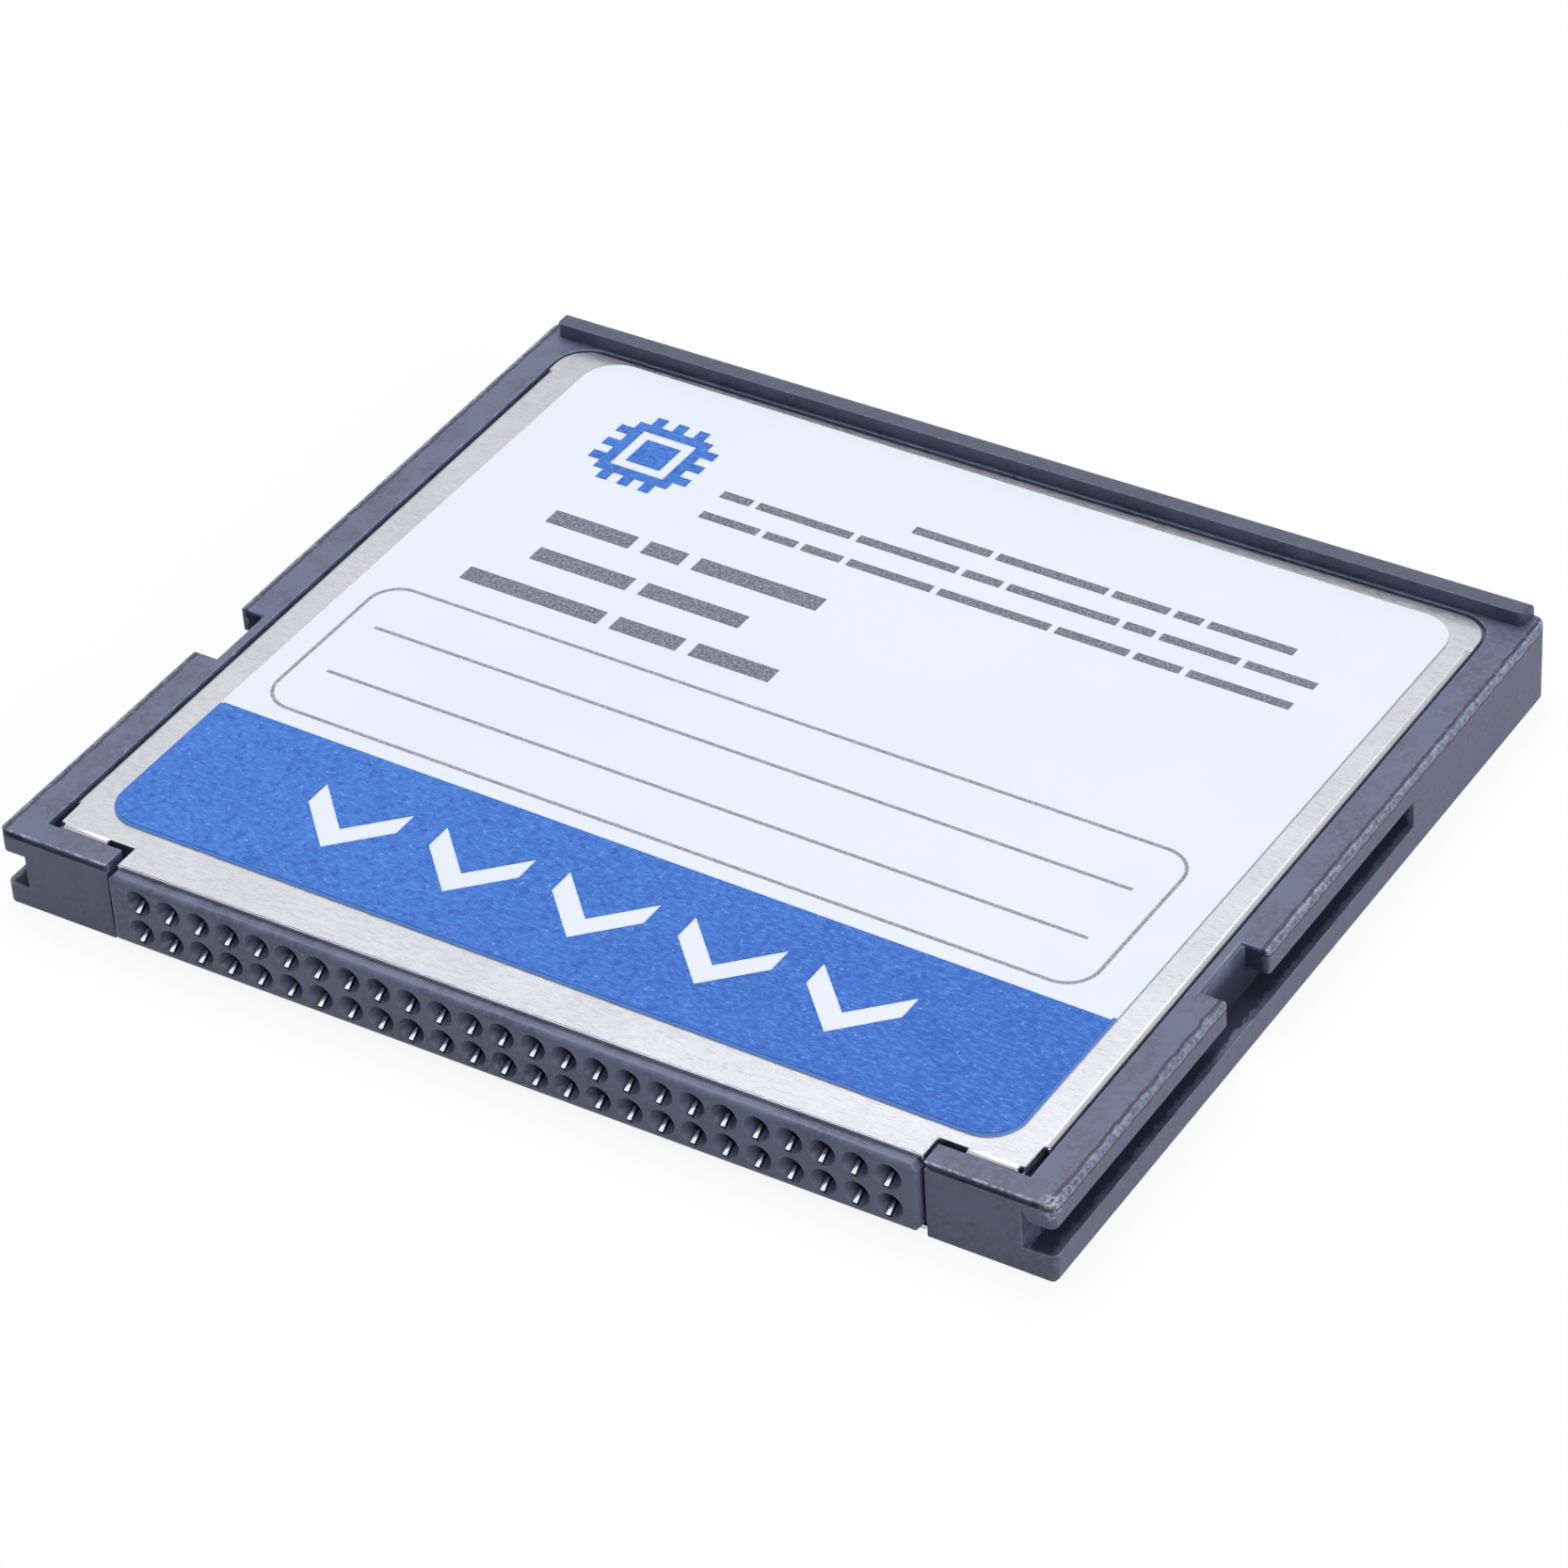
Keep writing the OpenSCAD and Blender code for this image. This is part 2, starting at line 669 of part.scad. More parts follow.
// Blue ink: the band at the connector end, with bare arrowheads, and the chip sign
module blue_print() color([0.22, 0.44, 0.8]) printed() {
    arrow_h = arrow_w / 2 + arrow_stroke;
    difference() {
        intersection() {
            label_plan(band_inset);
            turned(print_turn) translate([-label_w, label_y - band_l]) square([2 * label_w, 2 * band_l]);
        }
        turned(print_turn) for (i = [0 : arrow_n - 1])
            translate([(i - (arrow_n - 1) / 2) * arrow_pitch, label_y + (band_l - arrow_h) / 2])
                arrowhead();
    }
    turned(print_turn) translate([sign_side - label_w / 2, label_y + label_l - sign_back]) chip_sign();
}

// Sum of the first n entries of a list
function sum_of(list, n) = n == 0 ? 0 : list[n - 1] + sum_of(list, n - 1);

// Row of plain bars of height h; their lengths are multiples of it
module bar_row(h, lengths) {
    gap = 0.7;
    for (i = [0 : len(lengths) - 1])
        translate([h * (sum_of(lengths, i) + i * gap), 0]) square([h * lengths[i], h]);
}

// Grey ink: the writing box with its two rules, and rows of plain bars
module grey_print() color([0.45, 0.46, 0.5]) printed() turned(print_turn) {
    x0 = box_shift - box_w / 2;
    x1 = box_shift + box_w / 2;
    difference() {
        round_rect(x0, x1, box_y, box_y + box_l, box_r);
        round_rect(x0 + line_w, x1 - line_w, box_y + line_w, box_y + box_l - line_w, box_r - line_w);
    }
    for (y = [rule_in, box_l - rule_in]) translate([x0 + box_r, box_y + y - line_w / 2])
        square([box_w - 2 * box_r, line_w]);
    // Three fine rows near the back edge, and three bold rows in front of them
    fine_y = label_y + label_l - fine_back - fine_h - 2 * fine_pitch;
    translate([bold_side - label_w / 2, fine_y - row_gap - 3 * bold_pitch]) {
        bar_row(bold_h, [7.6, 3.6, 4.3]);
        translate([2 * bold_h, bold_pitch]) bar_row(bold_h, [5.3, 5.5]);
        translate([bold_h, 2 * bold_pitch]) bar_row(bold_h, [4.6, 2.1, 6.8]);
    }
    translate([fine_side - label_w / 2, fine_y]) {
        bar_row(fine_h, [6, 3.3, 4, 8.6, 11.2, 7.1, 4.5, 10]);
        translate([0, fine_pitch]) bar_row(fine_h, [3.1, 9.8, 10.2, 3.8, 11, 2.9, 7.6, 6.8]);
        translate([18 * fine_h, 2 * fine_pitch]) bar_row(fine_h, [7.9, 11, 5.5, 2.6, 8.4]);
    }
}

// Middle height of a contact row: 1 is the upper row, -1 the lower row
function row_z(row) = mid_z + row * pitch / 2;

module each_pin() {
    for (i = [0 : pin_n - 1]) translate([(i - (pin_n - 1) / 2) * pitch, 0, 0]) children();
}

// Path of the lower beam of a contact, from its nose to its base
function beam_path() = [
    [nose_y, -nose_drop], [funnel_l, -throat_drop], [funnel_l + grip_l, -grip_rise],
    [funnel_l + 2 * grip_l, -(2 * grip_rise + base_rise) / 3], [base_y0 + strip_t, -base_rise]
];

// Hollow for one contact: funnel, pin hole, beam slot and chamber
module contact_hollow() {
    slot_play = 0.04;
    slot_w = beam_w + 2 * slot_play;
    slot_front = nose_y - slot_play;
    slot_back = funnel_l + hole_l + slot_play;
    slot_drop = strip_t / 2 + slot_play;
    rotate([-90, 0, 0]) {
        translate([0, 0, -eps]) cylinder(r = funnel_r, h = eps);
        cylinder(r1 = funnel_r, r2 = hole_r, h = funnel_l);
        cylinder(r = hole_r, h = funnel_l + hole_l + eps);
    }
    along_x(beam_side - slot_w / 2, beam_side + slot_w / 2) polygon([
        [slot_front, 0], [slot_front, -nose_drop - slot_drop],
        [funnel_l, -throat_drop - slot_drop], [slot_back, -throat_drop - slot_drop], [slot_back, 0]
    ]);
    block(
        -chamber_w / 2, chamber_w / 2, funnel_l + hole_l, conn_l + eps,
        -chamber_h / 2, chamber_h / 2
    );
}

// Moulded connector body with its side keys and fifty contact hollows
module connector_housing() color([0.23, 0.25, 0.3]) seated() {
    hw = conn_w / 2;
    bevel_x = hw - conn_bevel;
    difference() {
        union() {
            translate([conn_shift, 0, 0]) {
                intersection() {
                    along_x(-hw, hw) round_rect(0, conn_l, sheet_t, seat_z, conn_r);
                    linear_extrude(card_t) round_rect(-hw, hw, 0, conn_l, conn_r);
                    along_y(0, conn_l) polygon([
                        [bevel_x, sheet_t], [hw, sheet_t + conn_bevel], [hw, seat_z - conn_bevel],
                        [bevel_x, seat_z], [-bevel_x, seat_z], [-hw, seat_z - conn_bevel],
                        [-hw, sheet_t + conn_bevel], [-bevel_x, sheet_t]
                    ]);
                }
                both_sides() block(hw - eps, hw + key_w, key_y, key_y + key_l, key_z, seat_z);
            }
        }
        for (row = [-1, 1]) translate([0, 0, row_z(row)]) each_pin() contact_hollow();
    }
}

// One spring contact: two beams, a pressed-in base and a tail on the board
module contact(row) {
    upper = [for (p = beam_path()) if (p[0] > funnel_l + hole_l) [p[0], -p[1]]];
    tail_z = -row * tail_drop;
    base_h = chamber_h - 2 * base_play;
    along_x(beam_side - beam_w / 2, beam_side + beam_w / 2) {
        polygon(strip(beam_path(), strip_t));
        polygon(strip(upper, strip_t));
    }
    along_x(-base_w / 2, base_w / 2) {
        translate([base_y0, -base_h / 2]) square([base_l, base_h]);
        polygon(strip([
            [base_y1 - strip_t, 0], [conn_l + base_play, 0], [board_y0 + base_play, tail_z],
            [tails_y, tail_z]
        ], strip_t));
    }
}

module upper_contacts() color([0.83, 0.76, 0.55]) seated()
    translate([0, 0, row_z(1)]) each_pin() contact(1);

module lower_contacts() color([0.83, 0.76, 0.55]) seated()
    translate([0, 0, row_z(-1)]) each_pin() contact(-1);

// Circuit board on the ledges of the frame
module circuit_board() color([0.1, 0.36, 0.2]) seated() translate([0, 0, board_z])
    linear_extrude(board_t) polygon([
        [-board_hw + board_cut, board_y0], [board_hw - board_cut, board_y0],
        [board_hw, board_y0 + board_cut], [board_hw, board_y1 - board_cut],
        [board_hw - board_cut, board_y1], [-board_hw + board_cut, board_y1],
        [-board_hw, board_y1 - board_cut], [-board_hw, board_y0 + board_cut]
    ]);

// Moulded chip body that stands over the board
module chip_body(w, l) {
    translate([-w / 2, -l / 2, board_top + standoff]) difference() {
        cube([w, l, chip_t]);
        // Round dimple that marks the first lead
        translate([dimple_in, dimple_in, chip_t - dimple_deep]) cylinder(r = dimple_r, h = eps);
    }
}

// Row of gull-wing leads on the +X side of a chip of width w
module lead_row(w, n, height) {
    bend = lead_reach / 4.5;
    foot = board_top + lead_t / 2;
    path = [
        [w / 2, height], [w / 2 + bend, height],
        [w / 2 + 2 * bend, foot], [w / 2 + lead_reach, foot]
    ];
    for (i = [0 : n - 1]) along_y(
        (i - (n - 1) / 2) * lead_pitch - lead_w / 2, (i - (n - 1) / 2) * lead_pitch + lead_w / 2
    ) polygon(strip(path, lead_t));
}

module at_controller() seated() translate([controller_x, chips_y, 0]) children();

module at_memory() seated() translate([memory_x, chips_y, 0]) children();

module controller_chip() color([0.12, 0.12, 0.13]) at_controller()
    chip_body(controller_w, controller_w);

module controller_leads() color([0.75, 0.75, 0.77]) at_controller()
    for (turn = [0 : 90 : 270]) rotate(turn)
        lead_row(controller_w, controller_n, board_top + standoff + chip_t / 2);

module memory_leads_pair() {
    for (turn = [90, 270]) rotate(turn)
        lead_row(memory_l, memory_n, board_top + standoff + chip_t / 2);
}

module memory_chip() color([0.12, 0.12, 0.13]) at_memory() chip_body(memory_w, memory_l);

module memory_leads() color([0.75, 0.75, 0.77]) at_memory() memory_leads_pair();

module lower_memory_chip() color([0.12, 0.12, 0.13])
    underside() at_memory() chip_body(memory_w, memory_l);

module lower_memory_leads() color([0.75, 0.75, 0.77])
    underside() at_memory() memory_leads_pair();

// Rows of small parts in the strip start behind the regulator
function part_row_y(k) = regulator_y + regulator_w / 2 + regulator_reach + (k + 0.5) * part_pitch;

// Five capacitors in front of the controller, and two in the strip
cap_places = concat(
    [for (i = [-2 : 2]) [controller_x + 1.5 * cap_l * i, caps_y]],
    [for (k = [0, 1]) [strip_x, part_row_y(k)]]
);
// Six resistors in pairs in the strip
res_places = [for (k = [2 : 4], side = [-1, 1]) [strip_x + side * 0.85 * res_l, part_row_y(k)]];

module small_body(l, w, h) {
    translate([term_l - l / 2, -w / 2, board_top]) cube([l - 2 * term_l, w, h]);
}

module small_ends(l, w, h) {
    for (x = [-l / 2, l / 2 - term_l]) translate([x, -w / 2, board_top]) cube([term_l, w, h]);
}

module at_places(places) {
    for (p = places) translate([p[0], p[1], 0]) children();
}

module capacitors() color([0.68, 0.56, 0.42]) seated()
    at_places(cap_places) small_body(cap_l, cap_w, cap_w);

module resistors() color([0.1, 0.1, 0.11]) seated()
    at_places(res_places) small_body(res_l, res_w, res_h);

module chip_terminals() color([0.8, 0.8, 0.8]) seated() {
    at_places(cap_places) small_ends(cap_l, cap_w, cap_w);
    at_places(res_places) small_ends(res_l, res_w, res_h);
}

// Clock crystal at the back of the strip: a metal lid on its base
module clock_crystal() color([0.78, 0.74, 0.62]) seated()
    translate([strip_x, board_y1 - board_cut - crystal_w / 2, board_top]) {
        lid_x = crystal_l / 2 - crystal_step;
        lid_y = crystal_w / 2 - crystal_step;
        translate([-crystal_l / 2, -crystal_w / 2, 0])
            cube([crystal_l, crystal_w, crystal_h - crystal_step]);
        linear_extrude(crystal_h) round_rect(-lid_x, lid_x, -lid_y, lid_y, crystal_step * 1.5);
    }

module at_regulator() seated() translate([strip_x, regulator_y, 0]) children();

module voltage_regulator() color([0.12, 0.12, 0.13]) at_regulator()
    translate([-regulator_l / 2, -regulator_w / 2, board_top + standoff])
        cube([regulator_l, regulator_w, chip_t]);

// Three leads on one side of the regulator and two on the other
module regulator_leads() color([0.75, 0.75, 0.77]) at_regulator() {
    foot = board_top + lead_t / 2;
    height = board_top + standoff + chip_t / 2;
    edge = regulator_w / 2;
    bend = regulator_reach / 4.5;
    path = [
        [edge, height], [edge + bend, height], [edge + 2 * bend, foot], [edge + regulator_reach, foot]
    ];
    for (i = [-1, 0, 1]) translate([i * regulator_pitch, 0, 0])
        along_x(-lead_w, lead_w) polygon(strip(path, lead_t));
    for (i = [-1, 1]) translate([i * regulator_pitch, 0, 0]) mirror([0, 1, 0])
        along_x(-lead_w, lead_w) polygon(strip(path, lead_t));
}

// Insulating film stuck to the inner face of a cover
module film() {
    block(
        -board_hw + film_margin, board_hw - film_margin, tails_y + film_margin,
        board_y1 - film_margin, seat_z - film_t, seat_z
    );
}

module upper_film() color([0.85, 0.55, 0.15]) seated() film();

module lower_film() color([0.85, 0.55, 0.15]) seated() underside() film();

frame();
top_cover();
bottom_cover();
label();
blue_print();
grey_print();
connector_housing();
upper_contacts();
lower_contacts();
circuit_board();
controller_chip();
controller_leads();
memory_chip();
memory_leads();
lower_memory_chip();
lower_memory_leads();
capacitors();
resistors();
chip_terminals();
clock_crystal();
voltage_regulator();
regulator_leads();
upper_film();
lower_film();
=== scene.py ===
import math

import bmesh
import bpy
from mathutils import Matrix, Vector


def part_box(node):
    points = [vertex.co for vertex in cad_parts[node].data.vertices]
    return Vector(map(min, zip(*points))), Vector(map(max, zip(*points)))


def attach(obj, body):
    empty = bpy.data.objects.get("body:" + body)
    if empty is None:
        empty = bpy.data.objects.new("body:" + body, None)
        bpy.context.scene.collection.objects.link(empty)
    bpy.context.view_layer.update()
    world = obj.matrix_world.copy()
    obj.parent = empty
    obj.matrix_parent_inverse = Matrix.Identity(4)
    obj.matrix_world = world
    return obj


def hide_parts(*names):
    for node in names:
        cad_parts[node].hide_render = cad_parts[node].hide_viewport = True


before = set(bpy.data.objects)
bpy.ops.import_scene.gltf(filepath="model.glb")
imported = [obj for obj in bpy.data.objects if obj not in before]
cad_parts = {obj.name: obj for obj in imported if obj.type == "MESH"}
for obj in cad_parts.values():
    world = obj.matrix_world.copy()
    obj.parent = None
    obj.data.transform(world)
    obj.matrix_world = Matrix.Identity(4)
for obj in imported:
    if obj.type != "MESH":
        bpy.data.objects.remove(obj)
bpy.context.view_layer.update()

# Frame
# One injection moulding in slate grey plastic with a fine matt grain. It carries the board, the
# socket and both covers. Sliding in and out of card slots has rubbed its rails and its corners.
# Painted light on the frame: its edge rounds and front top edges are lightened partly as painted
# highlight, and its guide grooves, notch walls, rail ends and ridge are darkened as painted shade.
MM = 0.001
frame_edge_round = 0.035 * MM
round_segments = 2
round_from = math.radians(28)
sharp_from = math.radians(35)
flat_within = math.radians(0.4)
weld_within = 1e-7
wall_steepness = 0.7
frame_dark = (0.066, 0.079, 0.142)
frame_light = (0.114, 0.133, 0.224)
# Light tone for the rubbed rails, also painted highlight on the edge rounds
frame_rubbed_and_lit = (0.33, 0.37, 0.48)
# Dark tone for the mould lines and for painted shade
frame_shade_and_line = (0.006, 0.010, 0.032)
# Pale tone of the dust flecks, also used for painted highlight on the front top edges
dust_and_highlight = (0.55, 0.58, 0.64)
dust_share = 0.07
rail_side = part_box("frame")[1][0]
rail_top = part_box("top_cover")[1][2]
block_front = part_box("frame")[0][1]
worn_band = 0.21 * MM
mould_line = 0.26 * MM
mould_line_half = 0.06 * MM
worn_corner = (rail_side - 0.12 * MM, block_front + 0.12 * MM, rail_top - 0.15 * MM)
worn_corner_reach = (0.2 * MM, 0.75 * MM)
dotted_edge = (0.05 * MM, 0.09 * MM)
# The guide grooves and the notches, as distances in from the side and heights
groove_wall = 1.02 * MM
rail_end_wall = 0.93 * MM
groove_lowest = 0.84 * MM
groove_ceiling = 2.30 * MM
notch_brim = 3.18 * MM
# Where the painted shade in the guide grooves begins, in from the side and behind the front
shade_depth = (0.16 * MM, 0.34 * MM)
groove_end = block_front + 25.6 * MM
shade_start = (block_front + 0.03 * MM, block_front + 0.18 * MM)
ridge_foot = rail_top + 0.02 * MM


def rounded_copy(node, name, radius):
    """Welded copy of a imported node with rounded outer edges.

    The face value rim is 1 on the round beside a wall, 0.5 on the round beside a flat top.
    No vertex leaves the node's own box.
    """
    mesh = bpy.data.meshes.new(name)
    bm = bmesh.new()
    bm.from_mesh(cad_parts[node].data)
    bmesh.ops.remove_doubles(bm, verts=bm.verts, dist=weld_within)
    bmesh.ops.dissolve_limit(
        bm, angle_limit=flat_within, verts=bm.verts, edges=bm.edges, delimit=set()
    )
    for face in bm.faces:
        face.material_index = 0
    outer = [e for e in bm.edges if len(e.link_faces) == 2 and e.is_convex]
    bmesh.ops.bevel(
        bm, geom=[e for e in outer if e.calc_face_angle() > round_from], offset=radius,
        offset_type="OFFSET", segments=round_segments, profile=0.5, affect="EDGES",
        clamp_overlap=False, material=1,
    )
    rim = bm.faces.layers.float.new("rim")
    for face in bm.faces:
        if face.material_index == 1:
            face[rim] = 1.0 if abs(face.normal.z) < wall_steepness else 0.5
        face.material_index = 0
        face.smooth = True
    low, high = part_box(node)
    for vert in bm.verts:
        vert.co = [min(max(vert.co[i], low[i]), high[i]) for i in range(3)]
    bm.to_mesh(mesh)
    bm.free()
    for layer in ("custom_normal", "sharp_edge", "sharp_face"):
        if layer in mesh.attributes:
            mesh.attributes.remove(mesh.attributes[layer])
    mesh.set_sharp_from_angle(angle=sharp_from)
    piece = bpy.data.objects.new(name, mesh)
    bpy.context.scene.collection.objects.link(piece)
    weighted = piece.modifiers.new("flat faces", "WEIGHTED_NORMAL")
    weighted.keep_sharp = True
    return piece


def shader_group(name, inputs, outputs):
    """Empty shader group with named number inputs and named number outputs."""
    tree = bpy.data.node_groups.new(name, "ShaderNodeTree")
    for label, value in inputs.items():
        socket = tree.interface.new_socket(label, in_out="INPUT", socket_type="NodeSocketFloat")
        socket.default_value = value
    for label in outputs:
        tree.interface.new_socket(label, in_out="OUTPUT", socket_type="NodeSocketFloat")
    return tree, tree.nodes.new("NodeGroupInput"), tree.nodes.new("NodeGroupOutput")


def add(tree, kind, **settings):
    """New node with its properties and the default values of its named inputs set."""
    node = tree.nodes.new(kind)
    for key, value in settings.items():
        if key in node.inputs:
            node.inputs[key].default_value = value
        else:
            setattr(node, key, value)
    return node


def maths(tree, operation, a, b, clamp=False):
    """Math node; a and b are sockets or numbers."""
    node = add(tree, "ShaderNodeMath", operation=operation, use_clamp=clamp)
    for socket, value in zip(node.inputs, (a, b)):
        if isinstance(value, (int, float)):
            socket.default_value = value
        else:
            tree.links.new(value, socket)
    return node.outputs[0]


def blend(tree, mask, low, high):
    """Colour mix; mask, low and high are sockets, numbers or colours."""
    node = add(tree, "ShaderNodeMix", data_type="RGBA")
    for socket, value in ((node.inputs[0], mask), (node.inputs[6], low), (node.inputs[7], high)):
        if isinstance(value, bpy.types.NodeSocket):
            tree.links.new(value, socket)
        elif isinstance(value, (int, float)):
            socket.default_value = value
        else:
            socket.default_value = (*value, 1.0)
    return node.outputs[2]


def over(tree, under, tone, mask, cover):
    """Colour under with tone laid over it where mask is 1; cover is how much it hides."""
    return blend(tree, maths(tree, "MULTIPLY", mask, cover), under, tone)


def ramp(tree, value, low, high, to_low=0.0, to_high=1.0):
    """Value mapped from low..high to to_low..to_high with a smooth step."""
    node = add(tree, "ShaderNodeMapRange", interpolation_type="SMOOTHSTEP")
    tree.links.new(value, node.inputs["Value"])
    ends = (("From Min", low), ("From Max", high), ("To Min", to_low), ("To Max", to_high))
    for key, number in ends:
        node.inputs[key].default_value = number
    return node.outputs["Result"]


def noise(tree, per_mm, detail=2.0, roughness=0.5, stretch=(1.0, 1.0, 1.0)):
    """Noise in object coordinates; per_mm is features per millimetre, a number or a socket."""
    place = add(tree, "ShaderNodeTexCoord").outputs["Object"]
    if stretch != (1.0, 1.0, 1.0):
        mapping = add(tree, "ShaderNodeMapping", Scale=stretch)
        tree.links.new(place, mapping.inputs["Vector"])
        place = mapping.outputs["Vector"]
    node = add(tree, "ShaderNodeTexNoise", Detail=detail, Roughness=roughness)
    tree.links.new(place, node.inputs["Vector"])
    if isinstance(per_mm, (int, float)):
        node.inputs["Scale"].default_value = per_mm / MM
    else:
        tree.links.new(maths(tree, "MULTIPLY", per_mm, 1.0 / MM), node.inputs["Scale"])
    return node.outputs["Fac"]


def place_xyz(tree):
    """The three object coordinates of the shaded point."""
    split = add(tree, "ShaderNodeSeparateXYZ")
    tree.links.new(add(tree, "ShaderNodeTexCoord").outputs["Object"], split.inputs[0])
    return split.outputs


def make_grain():
    """Grain of a moulded, rolled or printed surface, and soft clouding over it."""
    tree, given, out = shader_group(
        "surface grain", {"Grains per mm": 12.0, "Clouds per mm": 0.6}, ("Height", "Clouding", "Grain")
    )
    fine = noise(tree, given.outputs["Grains per mm"], 3.0, 0.6)
    soft = noise(tree, given.outputs["Clouds per mm"], 3.0, 0.55)
    tree.links.new(ramp(tree, fine, 0.3, 0.7), out.inputs["Height"])
    tree.links.new(ramp(tree, soft, 0.35, 0.65), out.inputs["Clouding"])
    tree.links.new(fine, out.inputs["Grain"])
    return tree


def make_rub_and_light():
    """Masks on the edge rounds, used for rubbed edges, painted highlight and painted shade: Mask on the
    rounds made by rounded_copy, Top round on their upper half.
    """
    tree, given, out = shader_group(
        "edge wear", {"Wear": 0.6, "Patches per mm": 2.5, "Bare share": 0.5}, ("Mask", "Top round")
    )
    rim = add(tree, "ShaderNodeAttribute", attribute_name="rim").outputs["Fac"]
    patch = noise(tree, given.outputs["Patches per mm"], 4.0, 0.65)
    low = maths(tree, "SUBTRACT", 0.75, maths(tree, "MULTIPLY", given.outputs["Bare share"], 0.5))
    broken = maths(tree, "MULTIPLY", maths(tree, "SUBTRACT", patch, low), 6.0, clamp=True)
    full = maths(tree, "MAXIMUM", maths(tree, "MULTIPLY", given.outputs["Bare share"], 0.6), broken)
    strength = maths(tree, "MULTIPLY", full, given.outputs["Wear"])
    beside_wall = maths(tree, "GREATER_THAN", rim, 0.75)
    on_round = maths(tree, "GREATER_THAN", rim, 0.25)
    beside_top = maths(tree, "SUBTRACT", on_round, beside_wall)
    tree.links.new(maths(tree, "MULTIPLY", beside_wall, strength), out.inputs["Mask"])
    tree.links.new(maths(tree, "MULTIPLY", beside_top, strength), out.inputs["Top round"])
    return tree


def make_specks():
    """Sparse tiny specks, round and irregularly placed."""
    tree, given, out = shader_group(
        "specks", {"Cells per mm": 1.2, "Size": 0.08, "Share": 0.1}, ("Mask",)
    )
    cells = add(tree, "ShaderNodeTexVoronoi", feature="F1", Randomness=1.0)
    tree.links.new(add(tree, "ShaderNodeTexCoord").outputs["Object"], cells.inputs["Vector"])
    per_metre = maths(tree, "MULTIPLY", given.outputs["Cells per mm"], 1.0 / MM)
    tree.links.new(per_metre, cells.inputs["Scale"])
    near = maths(tree, "LESS_THAN", cells.outputs["Distance"], given.outputs["Size"])
    pick = add(tree, "ShaderNodeSeparateColor")
    tree.links.new(cells.outputs["Color"], pick.inputs[0])
    chosen = maths(tree, "LESS_THAN", pick.outputs[0], given.outputs["Share"])
    tree.links.new(maths(tree, "MULTIPLY", near, chosen), out.inputs["Mask"])
    return tree


SURFACE_GRAIN = make_grain()
EDGE_WEAR_AND_LIGHT = make_rub_and_light()
SPECKS = make_specks()


def use_group(tree, group, **values):
    """Places a shader group and sets its inputs, named with underscores for spaces."""
    node = add(tree, "ShaderNodeGroup", node_tree=group)
    for key, value in values.items():
        node.inputs[key.replace("_", " ")].default_value = value
    return node.outputs


def finish_of(name, **plain):
    """Material with one Principled shader; plain values are set on its own sockets."""
    material = bpy.data.materials.new(name)
    material.use_nodes = True
    tree = material.node_tree
    shader = tree.nodes["Principled BSDF"]
    for key, value in plain.items():
        shader.inputs[key.replace("_", " ")].default_value = value
    return material, tree, shader


def grained(tree, grain, low, high):
    """Roughness that follows the grain from low to high."""
    return ramp(tree, grain["Grain"], 0.3, 0.7, low, high)


def clouded(tree, grain, low, high):
    """Roughness that follows the clouding from low to high."""
    return ramp(tree, grain["Clouding"], 0.0, 1.0, low, high)


def lay_on(tree, shader, colour, roughness):
    """Gives the shader its colour and roughness, both sockets."""
    tree.links.new(colour, shader.inputs["Base Color"])
    tree.links.new(roughness, shader.inputs["Roughness"])


def bump(tree, shader, height, strength, depth):
    """Bump from a height socket, depth in metres."""
    node = add(tree, "ShaderNodeBump", Strength=strength, Distance=depth)
    tree.links.new(height, node.inputs["Height"])
    tree.links.new(node.outputs["Normal"], shader.inputs["Normal"])


def moulded_base(tree, dark, light):
    """Colour of matt moulded plastic with clouding, grain and dust, and its grain outputs."""
    grain = use_group(tree, SURFACE_GRAIN, Grains_per_mm=5.0, Clouds_per_mm=0.7)
    specks = use_group(tree, SPECKS, Cells_per_mm=0.9, Size=0.05, Share=dust_share)
    plain = blend(tree, grain["Clouding"], dark, light)
    flecked = blend(tree, ramp(tree, grain["Grain"], 0.40, 0.64, 0.0, 0.8), plain, light)
    return blend(tree, specks["Mask"], flecked, dust_and_highlight), grain


def rail_masks(tree):
    """Where the long rail edges are rubbed, and the thin broken mould lines beside them."""
    x, _, z = place_xyz(tree)
    from_side = maths(tree, "SUBTRACT", rail_side, maths(tree, "ABSOLUTE", x, 0.0))
    from_top = maths(tree, "SUBTRACT", rail_top, z)
    from_edge = maths(tree, "MAXIMUM", from_side, from_top)
    on_top = maths(tree, "LESS_THAN", from_top, from_side)
    mottle = noise(tree, 5.0, 4.0, 0.7)
    band = ramp(tree, from_edge, 0.8 * worn_band, 1.2 * worn_band, 1.0, 0.0)
    rubbed = maths(tree, "MULTIPLY", band, ramp(tree, mottle, 0.40, 0.62, 0.12, 1.0))
    wander = ramp(tree, noise(tree, 1.4, 3.0, 0.7), 0.3, 0.7, -0.04 * MM, 0.04 * MM)
    past_line = maths(tree, "SUBTRACT", maths(tree, "ADD", from_edge, wander), mould_line)
    off_line = maths(tree, "ABSOLUTE", past_line, 0.0)
    spread = maths(tree, "MULTIPLY", off_line, ramp(tree, on_top, 0.0, 1.0, 1.4, 0.75))
    line = ramp(tree, spread, 0.5 * mould_line_half, 1.3 * mould_line_half, 1.0, 0.0)
    breaks = noise(tree, 2.6, 3.0, 0.7, stretch=(0.5, 1.0, 0.5))
    dashes = maths(tree, "MULTIPLY", line, ramp(tree, breaks, 0.32, 0.46, 0.3, 1.0))
    return rubbed, dashes


